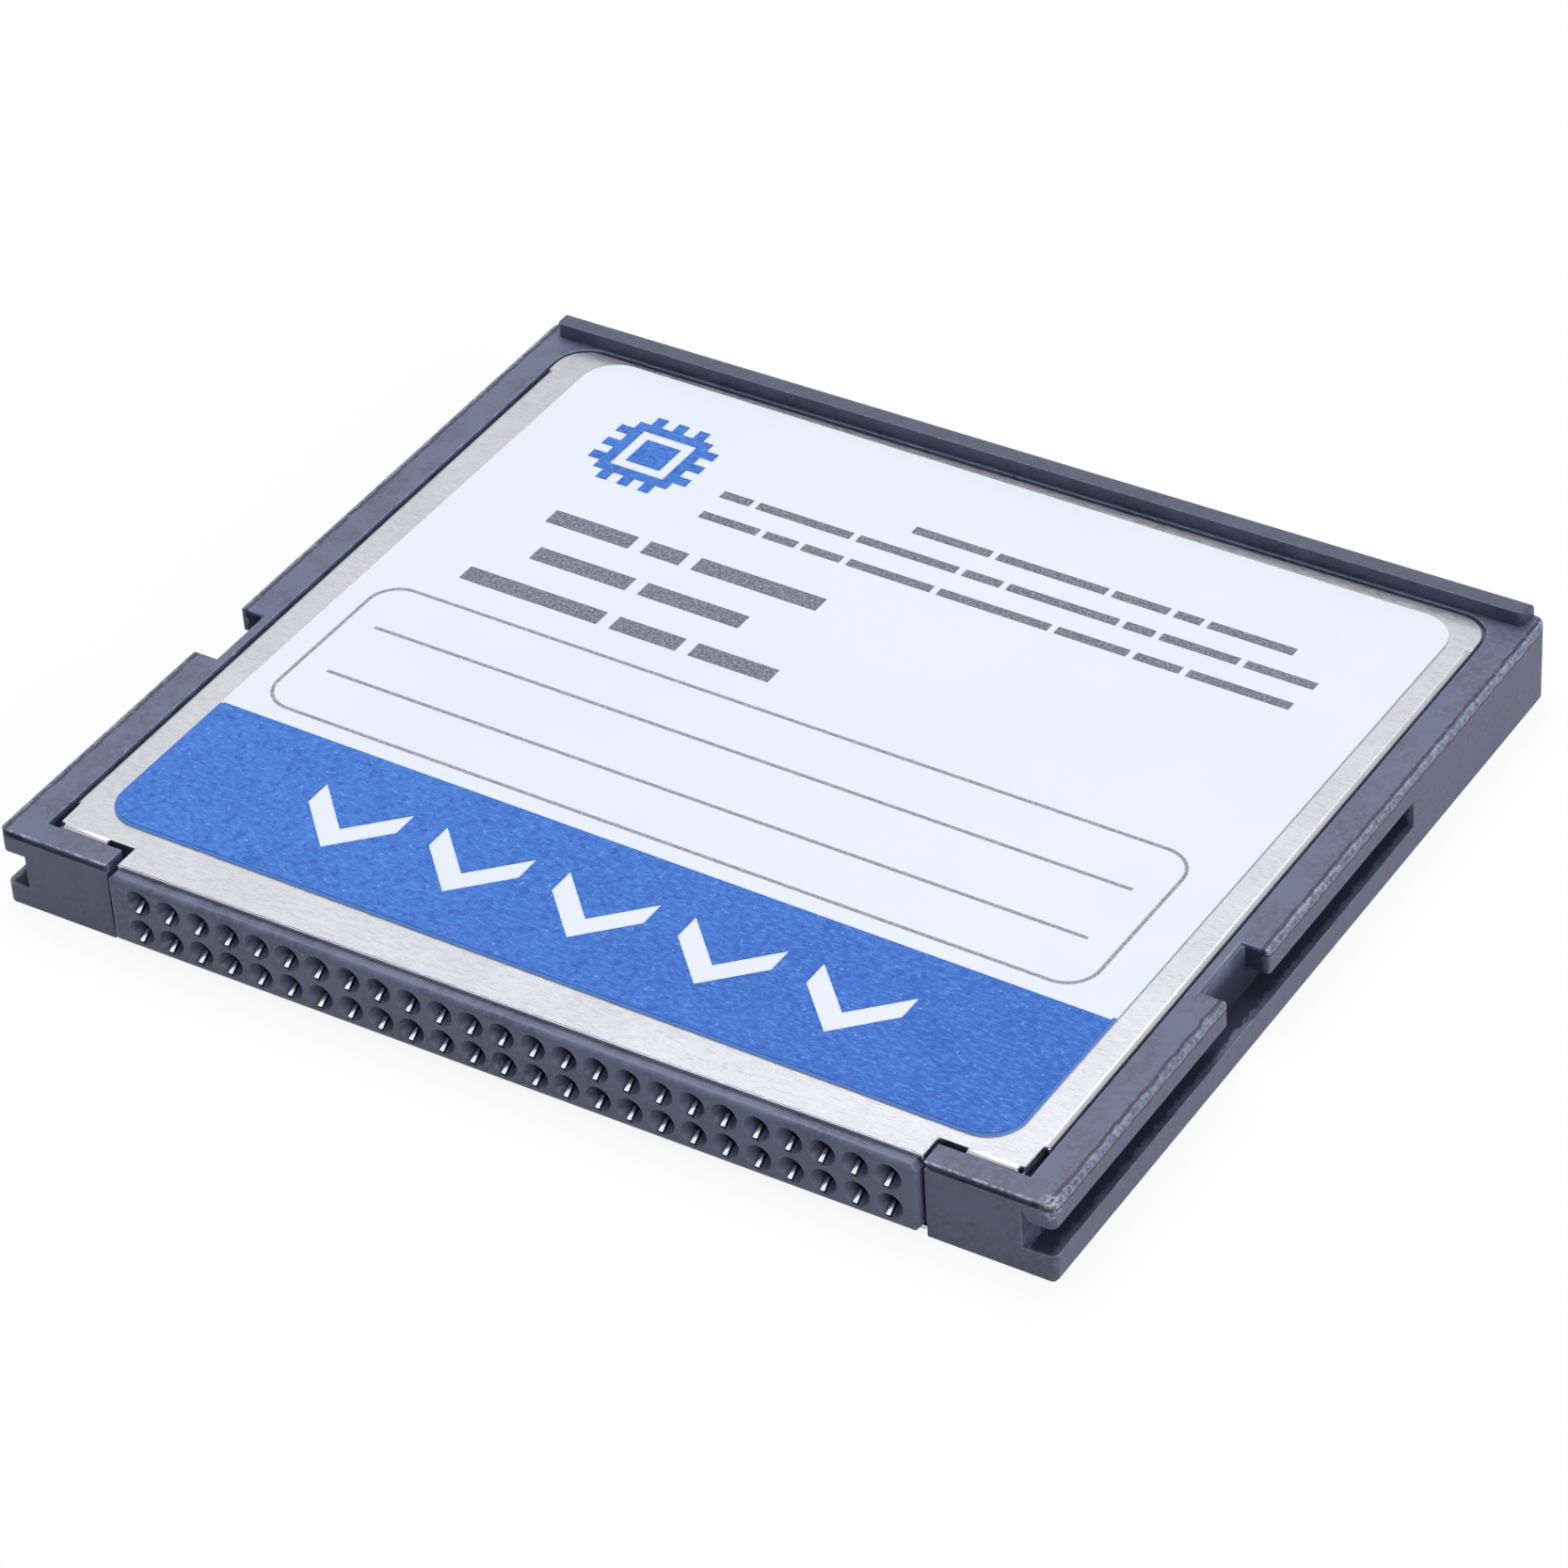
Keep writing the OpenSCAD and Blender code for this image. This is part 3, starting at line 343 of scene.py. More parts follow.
def front_edge_highlight_and_chips(tree):
    """Dotted painted highlight along the top front edges of the two corner blocks, and rubbed chips on
    the rail's front corner.
    """
    _, y, z = place_xyz(tree)
    from_front = maths(tree, "SUBTRACT", y, block_front)
    from_top = maths(tree, "SUBTRACT", rail_top, z)
    from_edge = maths(tree, "MAXIMUM", from_front, from_top)
    edge = ramp(tree, from_edge, *dotted_edge, 1.0, 0.0)
    dots = ramp(tree, noise(tree, 4.0, 3.0, 0.7), 0.42, 0.58, 0.15, 1.0)
    from_corner = add(tree, "ShaderNodeVectorMath", operation="DISTANCE")
    place = add(tree, "ShaderNodeTexCoord").outputs["Object"]
    tree.links.new(place, from_corner.inputs[0])
    from_corner.inputs[1].default_value = worn_corner
    near = ramp(tree, from_corner.outputs["Value"], *worn_corner_reach, 1.0, 0.0)
    chips = ramp(tree, noise(tree, 7.0, 4.0, 0.75), 0.44, 0.60)
    dotted = maths(tree, "MULTIPLY", edge, dots)
    return maths(tree, "MAXIMUM", dotted, maths(tree, "MULTIPLY", near, chips))


def groove_shade_mask(tree):
    """Painted shade in the guide grooves and on the ends of the rails, thinning up the notch walls."""
    x, y, z = place_xyz(tree)
    from_side = maths(tree, "SUBTRACT", rail_side, maths(tree, "ABSOLUTE", x, 0.0))
    wander = ramp(tree, noise(tree, 1.8, 4.0, 0.7), 0.3, 0.7, -0.10 * MM, 0.10 * MM)
    inside = ramp(tree, maths(tree, "ADD", from_side, wander), *shade_depth)
    before_wall = maths(tree, "LESS_THAN", from_side, groove_wall)
    before_end = maths(tree, "LESS_THAN", y, groove_end)
    above_floor = maths(tree, "GREATER_THAN", z, groove_lowest)
    below_brim = maths(tree, "LESS_THAN", z, notch_brim)
    up_wall = ramp(tree, z, groove_ceiling, notch_brim, 1.0, 0.0)
    on_rail_end = maths(tree, "LESS_THAN", from_side, rail_end_wall)
    mask = maths(tree, "MAXIMUM", up_wall, on_rail_end)
    behind_front = ramp(tree, y, *shade_start)
    for part in (inside, before_wall, before_end, above_floor, below_brim, behind_front):
        mask = maths(tree, "MULTIPLY", mask, part)
    return mask


frame_plastic, tree, shader = finish_of("frame plastic", IOR=1.5)
colour, grain = moulded_base(tree, frame_dark, frame_light)
wear_and_light = use_group(tree, EDGE_WEAR_AND_LIGHT, Wear=0.7, Patches_per_mm=2.2, Bare_share=0.6)
rubbed, dashes = rail_masks(tree)
groove_shade = groove_shade_mask(tree)
# The ridge above the rail tops is darkened half way towards the dark tone: painted shade
on_ridge = maths(tree, "GREATER_THAN", place_xyz(tree)[2], ridge_foot)
for tone, mask, cover in (
    # Edge rounds lightened, partly rubbed and partly painted highlight
    (frame_rubbed_and_lit, maths(tree, "ADD", wear_and_light["Mask"], wear_and_light["Top round"]), 1.0),
    (frame_rubbed_and_lit, rubbed, 0.8),
    (frame_shade_and_line, dashes, 0.95),
    # Painted shade in the guide grooves, up the notch walls and on the rail ends
    (frame_shade_and_line, groove_shade, 0.92),
    (frame_shade_and_line, on_ridge, 0.5),
    # Painted highlight dotted along the top front edges, with rubbed chips at the rail's corner
    (dust_and_highlight, front_edge_highlight_and_chips(tree), 0.8),
):
    colour = over(tree, colour, tone, mask, cover)
matt = clouded(tree, grain, 0.44, 0.54)
polished = maths(tree, "SUBTRACT", matt, maths(tree, "MULTIPLY", rubbed, 0.08))
dulled = maths(tree, "ADD", polished, maths(tree, "MULTIPLY", groove_shade, 0.4), clamp=True)
lay_on(tree, shader, colour, dulled)
relief = maths(tree, "SUBTRACT", grain["Height"], maths(tree, "MULTIPLY", dashes, 2.0))
bump(tree, shader, relief, 0.35, 0.012 * MM)

frame_body = rounded_copy("frame", "frame_body", frame_edge_round)
frame_body.data.materials.append(frame_plastic)
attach(frame_body, "root")
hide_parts("frame")

# Circuit board
# Glass laminate under green solder mask, laid on the ledges of the frame. The copper under the
# mask shows as faint raised tracks.


def finish_node(node, material):
    """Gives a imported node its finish."""
    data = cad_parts[node].data
    data.materials.clear()
    data.materials.append(material)


tracks_per_metre = 620.0
board_mask, tree, shader = finish_of("solder mask", Roughness=0.32, IOR=1.5)
grain = use_group(tree, SURFACE_GRAIN, Grains_per_mm=6.0, Clouds_per_mm=0.25)
tracks = add(tree, "ShaderNodeTexBrick", offset=0.5, **{"Scale": tracks_per_metre, "Mortar Size": 0.02})
tree.links.new(add(tree, "ShaderNodeTexCoord").outputs["Object"], tracks.inputs["Vector"])
green = blend(tree, grain["Clouding"], (0.012, 0.10, 0.045), (0.02, 0.14, 0.06))
traced = over(tree, green, (0.03, 0.2, 0.08), tracks.outputs["Fac"], 0.5)
tree.links.new(traced, shader.inputs["Base Color"])
bump(tree, shader, tracks.outputs["Fac"], 0.4, 0.02 * MM)
finish_node("circuit_board", board_mask)

# Chips
# The controller, two memories and the regulator are black epoxy mouldings with a matt
# spark-eroded skin. Their tinned leads are soldered to the board.


def tinned(name, dull, bright, rough=0.3):
    """Soft satin metal, a little uneven as solder and plating are."""
    material, tree, shader = finish_of(name, Metallic=1.0)
    grain = use_group(tree, SURFACE_GRAIN, Grains_per_mm=5.0, Clouds_per_mm=1.5)
    tone = blend(tree, grain["Clouding"], dull, bright)
    lay_on(tree, shader, tone, grained(tree, grain, rough - 0.06, rough + 0.1))
    bump(tree, shader, grain["Height"], 0.25, 0.008 * MM)
    return material


chip_epoxy, tree, shader = finish_of("chip epoxy", IOR=1.55)
grain = use_group(tree, SURFACE_GRAIN, Grains_per_mm=14.0, Clouds_per_mm=0.5)
black = blend(tree, grain["Clouding"], (0.012, 0.012, 0.014), (0.022, 0.022, 0.025))
lay_on(tree, shader, black, grained(tree, grain, 0.5, 0.68))
bump(tree, shader, grain["Height"], 0.4, 0.01 * MM)
lead_tin = tinned("lead tin", (0.5, 0.5, 0.52), (0.68, 0.68, 0.7))
for node in ("controller_chip", "memory_chip", "lower_memory_chip", "voltage_regulator"):
    finish_node(node, chip_epoxy)
for node in ("controller_leads", "memory_leads", "lower_memory_leads", "regulator_leads"):
    finish_node(node, lead_tin)

# Small parts
# Tan ceramic capacitors, black glazed resistors with metal ends, and the clock crystal's plated
# can. All are soldered flat on the board.


def ceramic(name, dark, light, rough):
    """Fired ceramic with fine pores."""
    material, tree, shader = finish_of(name, IOR=1.6)
    grain = use_group(tree, SURFACE_GRAIN, Grains_per_mm=18.0, Clouds_per_mm=2.0)
    tone = blend(tree, grain["Grain"], dark, light)
    lay_on(tree, shader, tone, clouded(tree, grain, rough, rough + 0.12))
    bump(tree, shader, grain["Height"], 0.3, 0.006 * MM)
    return material


finish_node("capacitors", ceramic("capacitor ceramic", (0.30, 0.19, 0.10), (0.46, 0.32, 0.19), 0.45))
finish_node("resistors", ceramic("resistor glaze", (0.010, 0.010, 0.013), (0.03, 0.03, 0.035), 0.22))
finish_node("chip_terminals", tinned("end solder", (0.55, 0.55, 0.56), (0.75, 0.75, 0.76), 0.24))
finish_node("clock_crystal", tinned("crystal can", (0.55, 0.51, 0.40), (0.72, 0.68, 0.55), 0.28))

# Insulating film
# Thin amber polyimide stuck inside each cover, so that no lead can touch the steel. It is cut
# from the roll and smooth, with a light gloss.
film_amber, tree, shader = finish_of("insulating film", IOR=1.6, Coat_Weight=0.3)
grain = use_group(tree, SURFACE_GRAIN, Grains_per_mm=2.0, Clouds_per_mm=0.3)
amber = blend(tree, grain["Clouding"], (0.42, 0.16, 0.015), (0.58, 0.25, 0.03))
lay_on(tree, shader, amber, grained(tree, grain, 0.18, 0.3))
bump(tree, shader, grain["Height"], 0.2, 0.01 * MM)
for node in ("upper_film", "lower_film"):
    finish_node(node, film_amber)

# Socket housing
# A harder, slightly smoother moulding between the frame's corner blocks, with fifty funnels that
# lead the host's pins to the contacts.
socket_edge_round = 0.03 * MM
socket_dark = (0.058, 0.072, 0.134)
socket_light = (0.125, 0.145, 0.240)
# Light tone for rubbed edges, also painted highlight on the edge rounds
socket_rubbed_and_lit = (0.21, 0.235, 0.31)
socket_plastic, tree, shader = finish_of("socket plastic", IOR=1.5)
moulded, grain = moulded_base(tree, socket_dark, socket_light)
wear_and_light = use_group(tree, EDGE_WEAR_AND_LIGHT, Wear=0.5, Patches_per_mm=2.2, Bare_share=0.5)
# Edge rounds lightened, partly rubbed and partly painted highlight
worn_and_lit = blend(tree, maths(tree, "ADD", wear_and_light["Mask"], wear_and_light["Top round"]), moulded, socket_rubbed_and_lit)
lay_on(tree, shader, worn_and_lit, clouded(tree, grain, 0.40, 0.50))
bump(tree, shader, grain["Height"], 0.3, 0.010 * MM)

socket_block = rounded_copy("connector_housing", "socket_block", socket_edge_round)
socket_block.data.materials.append(socket_plastic)
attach(socket_block, "root")
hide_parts("connector_housing")

# Contacts
# Fifty stamped springs of plated bronze, pressed into the housing from behind. The nose of each
# lower beam lies in its funnel and narrows towards the pin hole; the tail lies on the board.
spring_count = 25
spring_pitch = 1.27 * MM
strip_thick = 0.12 * MM
nose_width = 0.18 * MM
throat_width = 0.14 * MM
beam_side = -0.1 * MM
base_width = 0.42 * MM
base_height = 0.74 * MM
base_start = 3.6 * MM
base_end = 4.8 * MM
tail_bend = 5.35 * MM
tail_on_board = (0.05 * MM, 1.2 * MM)
strip_edge_round = 0.02 * MM
# The lower beam, as distance behind the socket's face and height over the row's middle
beam_path = [
    (0.07 * MM, -0.50 * MM), (0.46 * MM, -0.25 * MM), (1.30 * MM, -0.11 * MM),
    (2.10 * MM, -0.18 * MM), (base_start + strip_thick, -0.30 * MM),
]
beam_widths = [nose_width, throat_width, 0.15 * MM, 0.17 * MM, 0.20 * MM]
# Plating colour up to here; behind it, painted shade for the springs deep in the housing
shade_begins = (0.42 * MM, 0.52 * MM)
socket_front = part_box("connector_housing")[0][1]
board_low, board_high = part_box("circuit_board")
row_middle = (board_low[2] + board_high[2]) / 2
tail_gap = strip_thick / 2


def add_strip(bm, path, widths, side):
    """Closed bent strip through a path of distance and height, centred on x = side."""
    rings = []
    for i, point in enumerate(path):
        here = Vector(point)
        back = Vector(path[max(i - 1, 0)])
        ahead = Vector(path[min(i + 1, len(path) - 1)])
        run = (ahead - back).normalized()
        out = Vector((-run.y, run.x)) * strip_thick / 2
        corners = ((-1, -1), (1, -1), (1, 1), (-1, 1))
        rings.append([
            bm.verts.new((
                side + across * widths[i] / 2, socket_front + here.x + up * out.x, here.y + up * out.y,
            ))
            for across, up in corners
        ])
    for first, second in zip(rings, rings[1:]):
        for i in range(4):
            j = (i + 1) % 4
            bm.faces.new((first[i], first[j], second[j], second[i]))
    bm.faces.new(rings[0][::-1])
    bm.faces.new(rings[-1])


def spring_mesh(name, row):
    """One spring of the upper row (1) or the lower row (-1), at its row's height."""
    bm = bmesh.new()
    add_strip(bm, beam_path, beam_widths, beam_side)
    upper = [(behind, -height) for behind, height in beam_path[2:]]
    add_strip(bm, upper, beam_widths[-len(upper):], beam_side)
    base = bmesh.ops.create_cube(bm, size=1.0)["verts"]
    bmesh.ops.scale(bm, verts=base, vec=(base_width, base_end - base_start, base_height))
    middle = socket_front + (base_start + base_end) / 2
    bmesh.ops.translate(bm, verts=base, vec=(0, middle, 0))
    board_face = board_high[2] if row > 0 else board_low[2]
    row_height = row_middle + row * spring_pitch / 2
    tail_height = board_face + row * tail_gap - row_height
    board_start = board_low[1] - socket_front
    tail = [(base_end - strip_thick, 0), (tail_bend, 0)]
    tail += [(board_start + reach, tail_height) for reach in tail_on_board]
    add_strip(bm, tail, [base_width] * len(tail), 0.0)
    bmesh.ops.recalc_face_normals(bm, faces=bm.faces)
    bmesh.ops.bevel(
        bm, geom=[e for e in bm.edges if e.calc_face_angle() > 0.9], offset=strip_edge_round,
        offset_type="OFFSET", segments=2, profile=0.5, affect="EDGES", clamp_overlap=True,
    )
    bmesh.ops.translate(bm, verts=bm.verts, vec=(0, 0, row_height))
    for face in bm.faces:
        face.smooth = True
    mesh = bpy.data.meshes.new(name)
    bm.to_mesh(mesh)
    bm.free()
    mesh.set_sharp_from_angle(angle=math.radians(40))
    return mesh


def make_row_tree():
    """Geometry tree that sets copies of one spring in a row across the housing."""
    tree = bpy.data.node_groups.new("row of springs", "GeometryNodeTree")
    face = tree.interface
    face.new_socket("Row", in_out="OUTPUT", socket_type="NodeSocketGeometry")
    face.new_socket("Spring", in_out="INPUT", socket_type="NodeSocketGeometry")
    face.new_socket("Count", in_out="INPUT", socket_type="NodeSocketInt")
    face.new_socket("Pitch", in_out="INPUT", socket_type="NodeSocketFloat")
    face.new_socket("Plating", in_out="INPUT", socket_type="NodeSocketMaterial")
    given = tree.nodes.new("NodeGroupInput").outputs
    out = tree.nodes.new("NodeGroupOutput")
    gaps = maths(tree, "SUBTRACT", given["Count"], 1.0)
    half = maths(tree, "MULTIPLY", maths(tree, "MULTIPLY", gaps, given["Pitch"]), -0.5)
    line = add(tree, "GeometryNodeMeshLine", mode="OFFSET", count_mode="TOTAL")
    tree.links.new(given["Count"], line.inputs["Count"])
    for value, label in ((half, "Start Location"), (given["Pitch"], "Offset")):
        along = add(tree, "ShaderNodeCombineXYZ")
        tree.links.new(value, along.inputs["X"])
        tree.links.new(along.outputs[0], line.inputs[label])
    placed = add(tree, "GeometryNodeInstanceOnPoints")
    tree.links.new(line.outputs["Mesh"], placed.inputs["Points"])
    tree.links.new(given["Spring"], placed.inputs["Instance"])
    real = add(tree, "GeometryNodeRealizeInstances")
    tree.links.new(placed.outputs["Instances"], real.inputs["Geometry"])
    plated = add(tree, "GeometryNodeSetMaterial")
    tree.links.new(real.outputs["Geometry"], plated.inputs["Geometry"])
    tree.links.new(given["Plating"], plated.inputs["Material"])
    tree.links.new(plated.outputs["Geometry"], out.inputs["Row"])
    return tree


def spring_row(name, row, tree, material):
    """Row of springs as one plain mesh."""
    seed = bpy.data.objects.new(name + "_one", spring_mesh(name + "_one", row))
    bpy.context.scene.collection.objects.link(seed)
    modifier = seed.modifiers.new("row", "NODES")
    modifier.node_group = tree
    values = {"Count": spring_count, "Pitch": spring_pitch, "Plating": material}
    for item in tree.interface.items_tree:
        if item.in_out == "INPUT" and item.name in values:
            modifier[item.identifier] = values[item.name]
    graph = bpy.context.evaluated_depsgraph_get()
    mesh = bpy.data.meshes.new_from_object(seed.evaluated_get(graph), depsgraph=graph)
    mesh.name = name
    piece = bpy.data.objects.new(name, mesh)
    bpy.context.scene.collection.objects.link(piece)
    bpy.data.objects.remove(seed)
    return piece


contact_plating, tree, shader = finish_of("contact plating", Metallic=1.0)
grain = use_group(tree, SURFACE_GRAIN, Grains_per_mm=5.0, Clouds_per_mm=1.5)
bright = blend(tree, grain["Clouding"], (0.84, 0.91, 1.0), (0.89, 0.95, 1.0))
behind = maths(tree, "SUBTRACT", place_xyz(tree)[1], socket_front)
# A little behind the socket's face the plating turns dark: painted shade for the springs deep in the
# housing
plating = blend(tree, ramp(tree, behind, *shade_begins), bright, (0.16, 0.17, 0.21))
lay_on(tree, shader, plating, grained(tree, grain, 0.20, 0.32))
bump(tree, shader, grain["Height"], 0.2, 0.006 * MM)
row_tree = make_row_tree()
for node, row in (("upper_contacts", 1), ("lower_contacts", -1)):
    springs = spring_row(node + "_row", row, row_tree, contact_plating)
    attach(springs, "root")
    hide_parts(node)

# Covers
# Stainless sheet stamped and bent, sprung into the channels of the frame. Satin faces with a
# fine rolled grain, bright cut edges with painted highlight on them, and a dark broken line of
# painted shade along the tops of their edges.
cover_edge_round = 0.04 * MM
sheet_steel, tree, shader = finish_of("cover steel", Metallic=1.0)
grain = use_group(tree, SURFACE_GRAIN, Grains_per_mm=11.0, Clouds_per_mm=0.4)
wear_and_light = use_group(tree, EDGE_WEAR_AND_LIGHT, Wear=1.0, Patches_per_mm=4.0, Bare_share=0.9)
rolled = noise(tree, 2.6, 2.0, 0.6, stretch=(1.0, 9.0, 1.0))
satin = blend(tree, grain["Clouding"], (0.455, 0.458, 0.488), (0.485, 0.488, 0.520))
pitted = blend(tree, ramp(tree, grain["Grain"], 0.30, 0.46, 0.4, 0.0), satin, (0.38, 0.38, 0.41))
speckled = blend(tree, ramp(tree, grain["Grain"], 0.52, 0.70, 0.0, 0.4), pitted, (0.56, 0.56, 0.59))
# Dark broken line of painted shade on the top half of each edge round
edge_shaded = over(tree, speckled, (0.08, 0.08, 0.11), wear_and_light["Top round"], 0.95)
# Rounds beside the walls painted near white: bright cut edges with painted highlight
cut = blend(tree, wear_and_light["Mask"], edge_shaded, (0.95, 0.95, 0.97))
lay_on(tree, shader, cut, ramp(tree, rolled, 0.3, 0.7, 0.27, 0.36))
sheet_relief = maths(tree, "ADD", grain["Height"], maths(tree, "MULTIPLY", rolled, 0.6))
bump(tree, shader, sheet_relief, 0.15, 0.004 * MM)
for node in ("top_cover", "bottom_cover"):
    stamped = rounded_copy(node, node + "_sheet", cover_edge_round)
    stamped.data.materials.append(sheet_steel)
    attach(stamped, "root")
    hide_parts(node)

# Label
# White film stuck on the top cover, with a satin face. Its cut edge is coloured blue-grey, and
# the blue of its field runs out to that edge.
label_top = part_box("label")[1][2]
cut_depth = 0.012 * MM
cut_edge_blue = (0.30, 0.47, 0.66)
field_blue = (0.028, 0.155, 0.585)
# The label's plan, which is stuck on a little askew
label_slope = math.tan(math.radians(0.6))
label_middle = 0.1 * MM
label_half = 18.6 * MM
label_front = -15.9 * MM
label_corner = 1.45 * MM
field_back = -8.55 * MM
field_margin = 0.15 * MM


def field_edge_mask(tree):
    """The strip of the label between the blue field and the cut edge."""
    x, y, _ = place_xyz(tree)
    off_middle = maths(tree, "SUBTRACT", x, label_middle)
    along = maths(tree, "ADD", y, maths(tree, "MULTIPLY", off_middle, label_slope))
    across = maths(tree, "SUBTRACT", off_middle, maths(tree, "MULTIPLY", y, label_slope))
    off_axis = maths(tree, "ABSOLUTE", across, 0.0)
    sideways = maths(tree, "SUBTRACT", off_axis, label_half - label_corner)
    forward = maths(tree, "SUBTRACT", label_front + label_corner, along)
    squares = [
        maths(tree, "POWER", maths(tree, "MAXIMUM", side, 0.0), 2.0) for side in (sideways, forward)
    ]
    out = maths(tree, "POWER", maths(tree, "ADD", squares[0], squares[1]), 0.5)
    beyond = maths(tree, "GREATER_THAN", out, label_corner - field_margin)
    return maths(tree, "MULTIPLY", beyond, maths(tree, "LESS_THAN", along, field_back))


label_film, tree, shader = finish_of("label film", IOR=1.45, Coat_Weight=0.1, Coat_Roughness=0.25)
grain = use_group(tree, SURFACE_GRAIN, Grains_per_mm=7.0, Clouds_per_mm=0.12)
white = blend(tree, grain["Clouding"], (0.80, 0.850, 0.950), (0.82, 0.870, 0.965))
printed = blend(tree, field_edge_mask(tree), white, field_blue)
edge = maths(tree, "LESS_THAN", place_xyz(tree)[2], label_top - cut_depth)
lay_on(tree, shader, blend(tree, edge, printed, cut_edge_blue), grained(tree, grain, 0.36, 0.46))
bump(tree, shader, grain["Height"], 0.12, 0.006 * MM)
finish_node("label", label_film)

# Blue print
# A field of screen ink across the connector end of the label. It is mottled in short fibres,
# with fine pale specks where the ink did not cover, and a little deeper towards the right.
field_half = 19.0 * MM
blue_ink, tree, shader = finish_of("blue ink", IOR=1.38)
grain = use_group(tree, SURFACE_GRAIN, Grains_per_mm=4.0, Clouds_per_mm=0.5)
specks = use_group(tree, SPECKS, Cells_per_mm=3.2, Size=0.2, Share=0.22)
across = ramp(tree, place_xyz(tree)[0], -field_half, field_half)
left = blend(tree, grain["Clouding"], (0.026, 0.155, 0.590), (0.036, 0.178, 0.640))
right = blend(tree, grain["Clouding"], (0.010, 0.112, 0.520), (0.018, 0.132, 0.565))
field = blend(tree, across, left, right)
fibres = noise(tree, 3.0, 4.0, 0.7, stretch=(1.0, 2.4, 1.0))
mottled = blend(tree, ramp(tree, fibres, 0.44, 0.66, 0.0, 0.75), field, (0.080, 0.27, 0.75))
deep = blend(tree, ramp(tree, grain["Grain"], 0.32, 0.50, 0.75, 0.0), mottled, (0.006, 0.085, 0.44))
spotted = over(tree, deep, (0.32, 0.50, 0.90), specks["Mask"], 0.3)
lay_on(tree, shader, spotted, grained(tree, grain, 0.34, 0.48))
bump(tree, shader, grain["Height"], 0.2, 0.006 * MM)
finish_node("blue_print", blue_ink)

# Grey print
# The rows of bars in grey ink that breaks up a little over the film, and the writing box with
# its two rules in a paler grey.
print_slope = math.tan(math.radians(0.9))
box_back = 0.70 * MM
grey_ink, tree, shader = finish_of("grey ink", IOR=1.48)
grain = use_group(tree, SURFACE_GRAIN, Grains_per_mm=8.0, Clouds_per_mm=1.0)
thin_spots = ramp(tree, grain["Grain"], 0.4, 0.66)
bars = blend(tree, thin_spots, (0.095, 0.11, 0.15), (0.26, 0.29, 0.36))
rules = blend(tree, thin_spots, (0.23, 0.245, 0.28), (0.42, 0.44, 0.48))
x, y, _ = place_xyz(tree)
squared = maths(tree, "ADD", y, maths(tree, "MULTIPLY", x, print_slope))
in_box = maths(tree, "LESS_THAN", squared, box_back)
lay_on(tree, shader, blend(tree, in_box, bars, rules), clouded(tree, grain, 0.45, 0.6))
bump(tree, shader, grain["Height"], 0.2, 0.004 * MM)
finish_node("grey_print", grey_ink)

# Studio
# A plain pale floor and surround that stay white to the eye and in the metal, a broad soft lamp
# above the back of the card and a smaller one to its right.
half_floor = 0.6
floor_grey = (0.45, 0.45, 0.45)
floor_pale = (0.95, 0.95, 0.95)
floor_glow_share = 0.9
surround_tint = (0.93, 0.96, 1.0, 1.0)
surround_light = 0.22
plain_white = (1.0, 1.0, 1.0, 1.0)


def seen_directly(tree):
    """1 for rays of the eye and for their reflections, 0 for light on the way to a surface."""
    path = add(tree, "ShaderNodeLightPath").outputs
    mirrored = maths(tree, "MAXIMUM", path["Is Glossy Ray"], path["Is Transmission Ray"])
    return maths(tree, "MAXIMUM", path["Is Camera Ray"], mirrored)


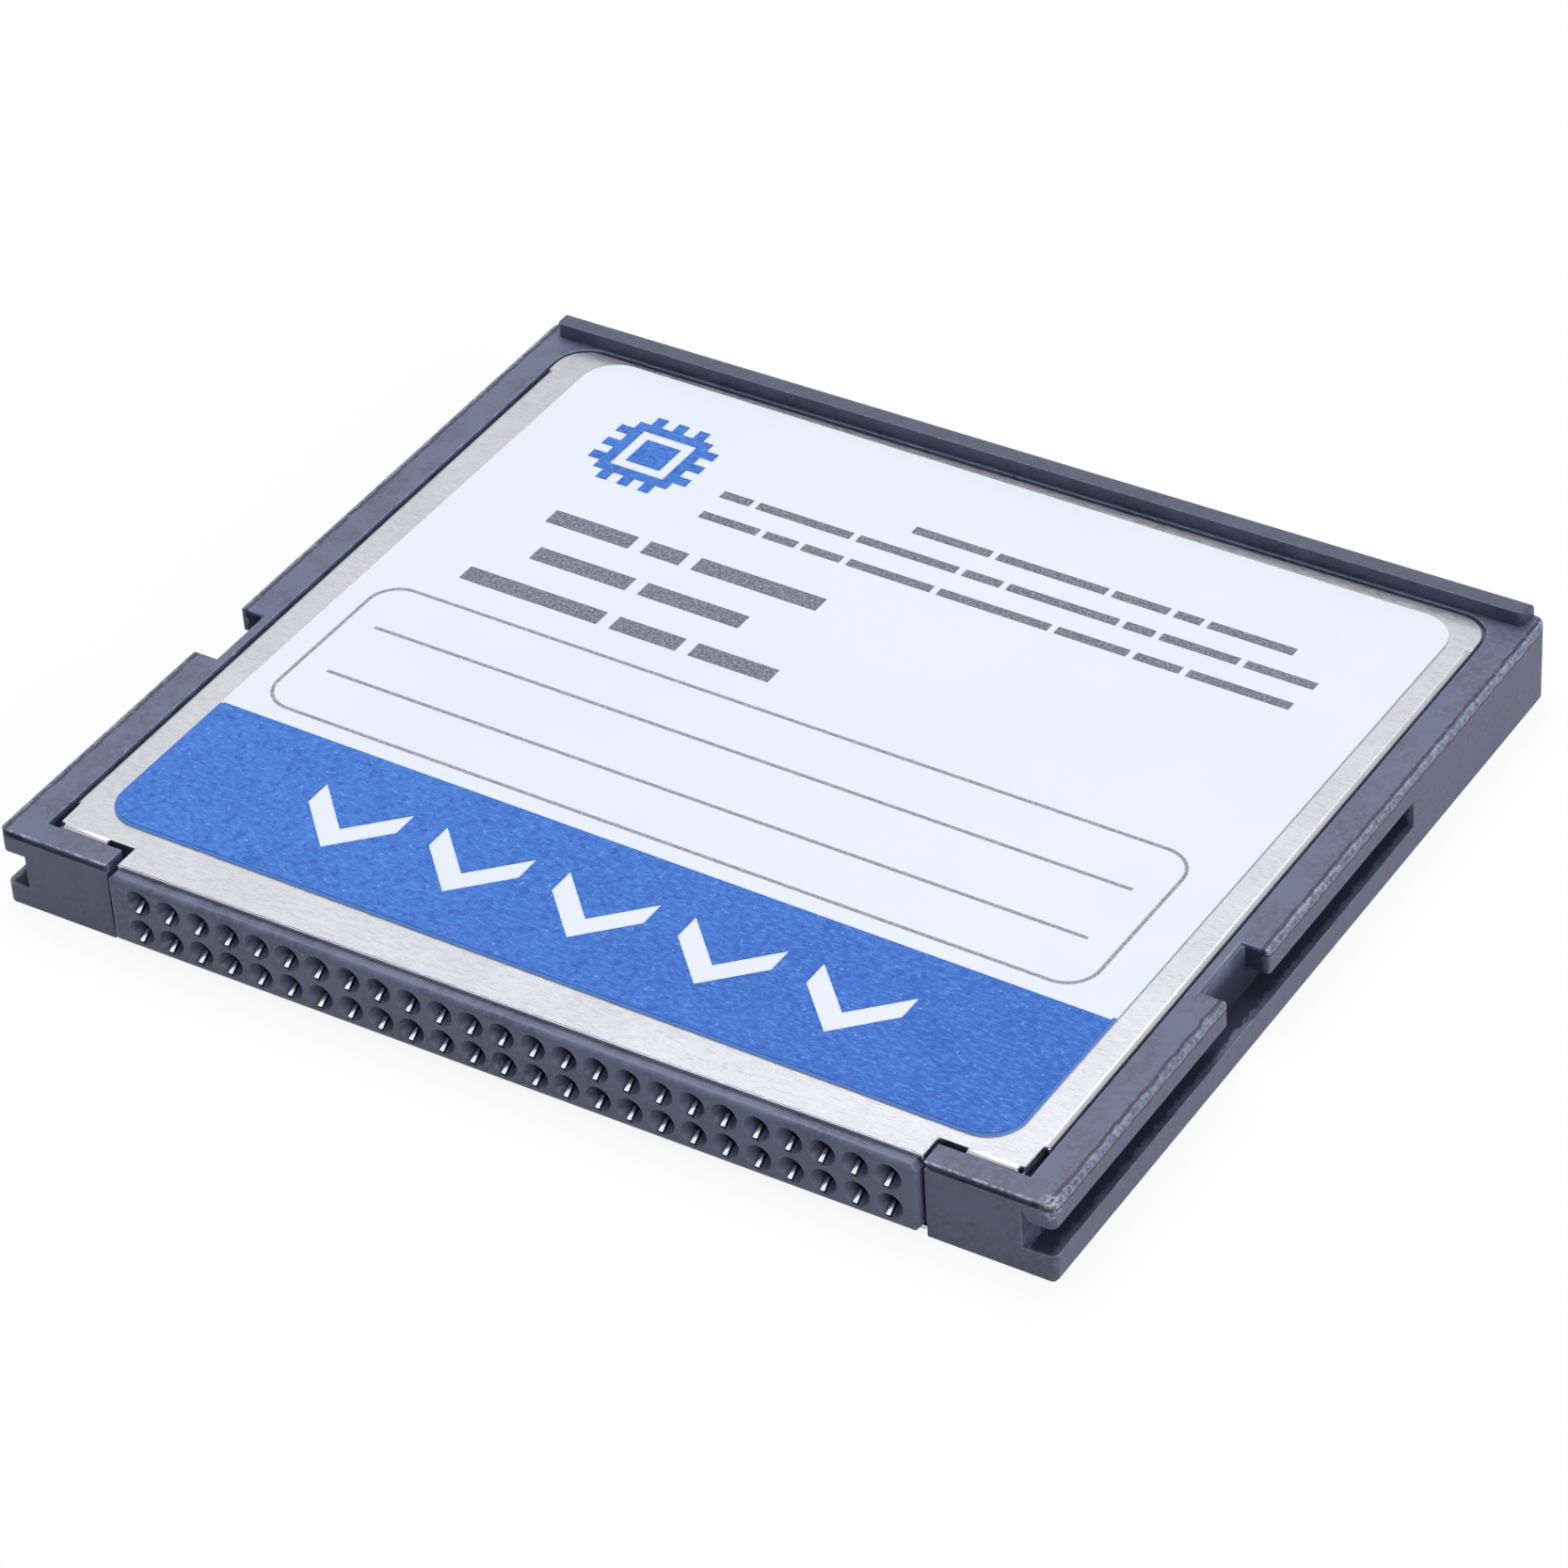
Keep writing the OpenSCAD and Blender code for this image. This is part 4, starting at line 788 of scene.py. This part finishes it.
floor_mesh = bpy.data.meshes.new("floor")
floor_mesh.from_pydata(
    [(x * half_floor, y * half_floor, 0.0) for x, y in ((-1, -1), (1, -1), (1, 1), (-1, 1))],
    [], [(0, 1, 2, 3)],
)
floor = bpy.data.objects.new("floor", floor_mesh)
bpy.context.scene.collection.objects.link(floor)
floor_paper, tree, shader = finish_of("floor paper", Roughness=0.9)
seen = seen_directly(tree)
tree.links.new(blend(tree, seen, floor_grey, floor_pale), shader.inputs["Base Color"])
glow = add(tree, "ShaderNodeEmission", Color=plain_white, Strength=1.0)
mixed = add(tree, "ShaderNodeMixShader")
tree.links.new(maths(tree, "MULTIPLY", seen, floor_glow_share), mixed.inputs[0])
tree.links.new(shader.outputs[0], mixed.inputs[1])
tree.links.new(glow.outputs[0], mixed.inputs[2])
tree.links.new(mixed.outputs[0], tree.nodes["Material Output"].inputs["Surface"])
floor_mesh.materials.append(floor_paper)

world = bpy.data.worlds.new("studio")
bpy.context.scene.world = world
world.use_nodes = True
tree = world.node_tree
soft = tree.nodes["Background"]
soft.inputs["Color"].default_value = surround_tint
soft.inputs["Strength"].default_value = surround_light
white = add(tree, "ShaderNodeBackground", Color=plain_white, Strength=1.0)
mixed = add(tree, "ShaderNodeMixShader")
tree.links.new(seen_directly(tree), mixed.inputs[0])
tree.links.new(soft.outputs[0], mixed.inputs[1])
tree.links.new(white.outputs[0], mixed.inputs[2])
tree.links.new(mixed.outputs[0], tree.nodes["World Output"].inputs["Surface"])


def lamp(name, place, width, height, watts):
    """Area lamp at place that looks at the middle of the card."""
    data = bpy.data.lights.new(name, "AREA")
    data.shape = "RECTANGLE"
    data.size, data.size_y = width, height
    data.energy = watts
    light = bpy.data.objects.new(name, data)
    bpy.context.scene.collection.objects.link(light)
    light.location = place
    light.rotation_euler = (-Vector(place)).to_track_quat("-Z", "Y").to_euler()


lamp("overhead", (-0.08, 0.10, 0.42), 0.35, 0.35, 1.52)
lamp("right side", (0.40, -0.09, 0.18), 0.30, 0.18, 0.75)

# Camera
# The long lens of the photograph, above the right front corner of the card. Its place, tilt and
# shift come from a fit to the socket's holes and the corners of the body.
camera_data = bpy.data.cameras.new("camera")
camera = bpy.data.objects.new("camera", camera_data)
bpy.context.scene.collection.objects.link(camera)
camera_data.sensor_width = 36.0
camera_data.lens = 142.35
camera_data.shift_x = -0.0105
camera_data.shift_y = 0.0008
camera_data.clip_start, camera_data.clip_end = 0.01, 5.0
camera.location = (0.09825, -0.14639, 0.13671)
camera.rotation_euler = [math.radians(a) for a in (52.2456, 2.9333, 31.4116)]
bpy.context.scene.camera = camera
bpy.context.scene.view_settings.view_transform = "Standard"
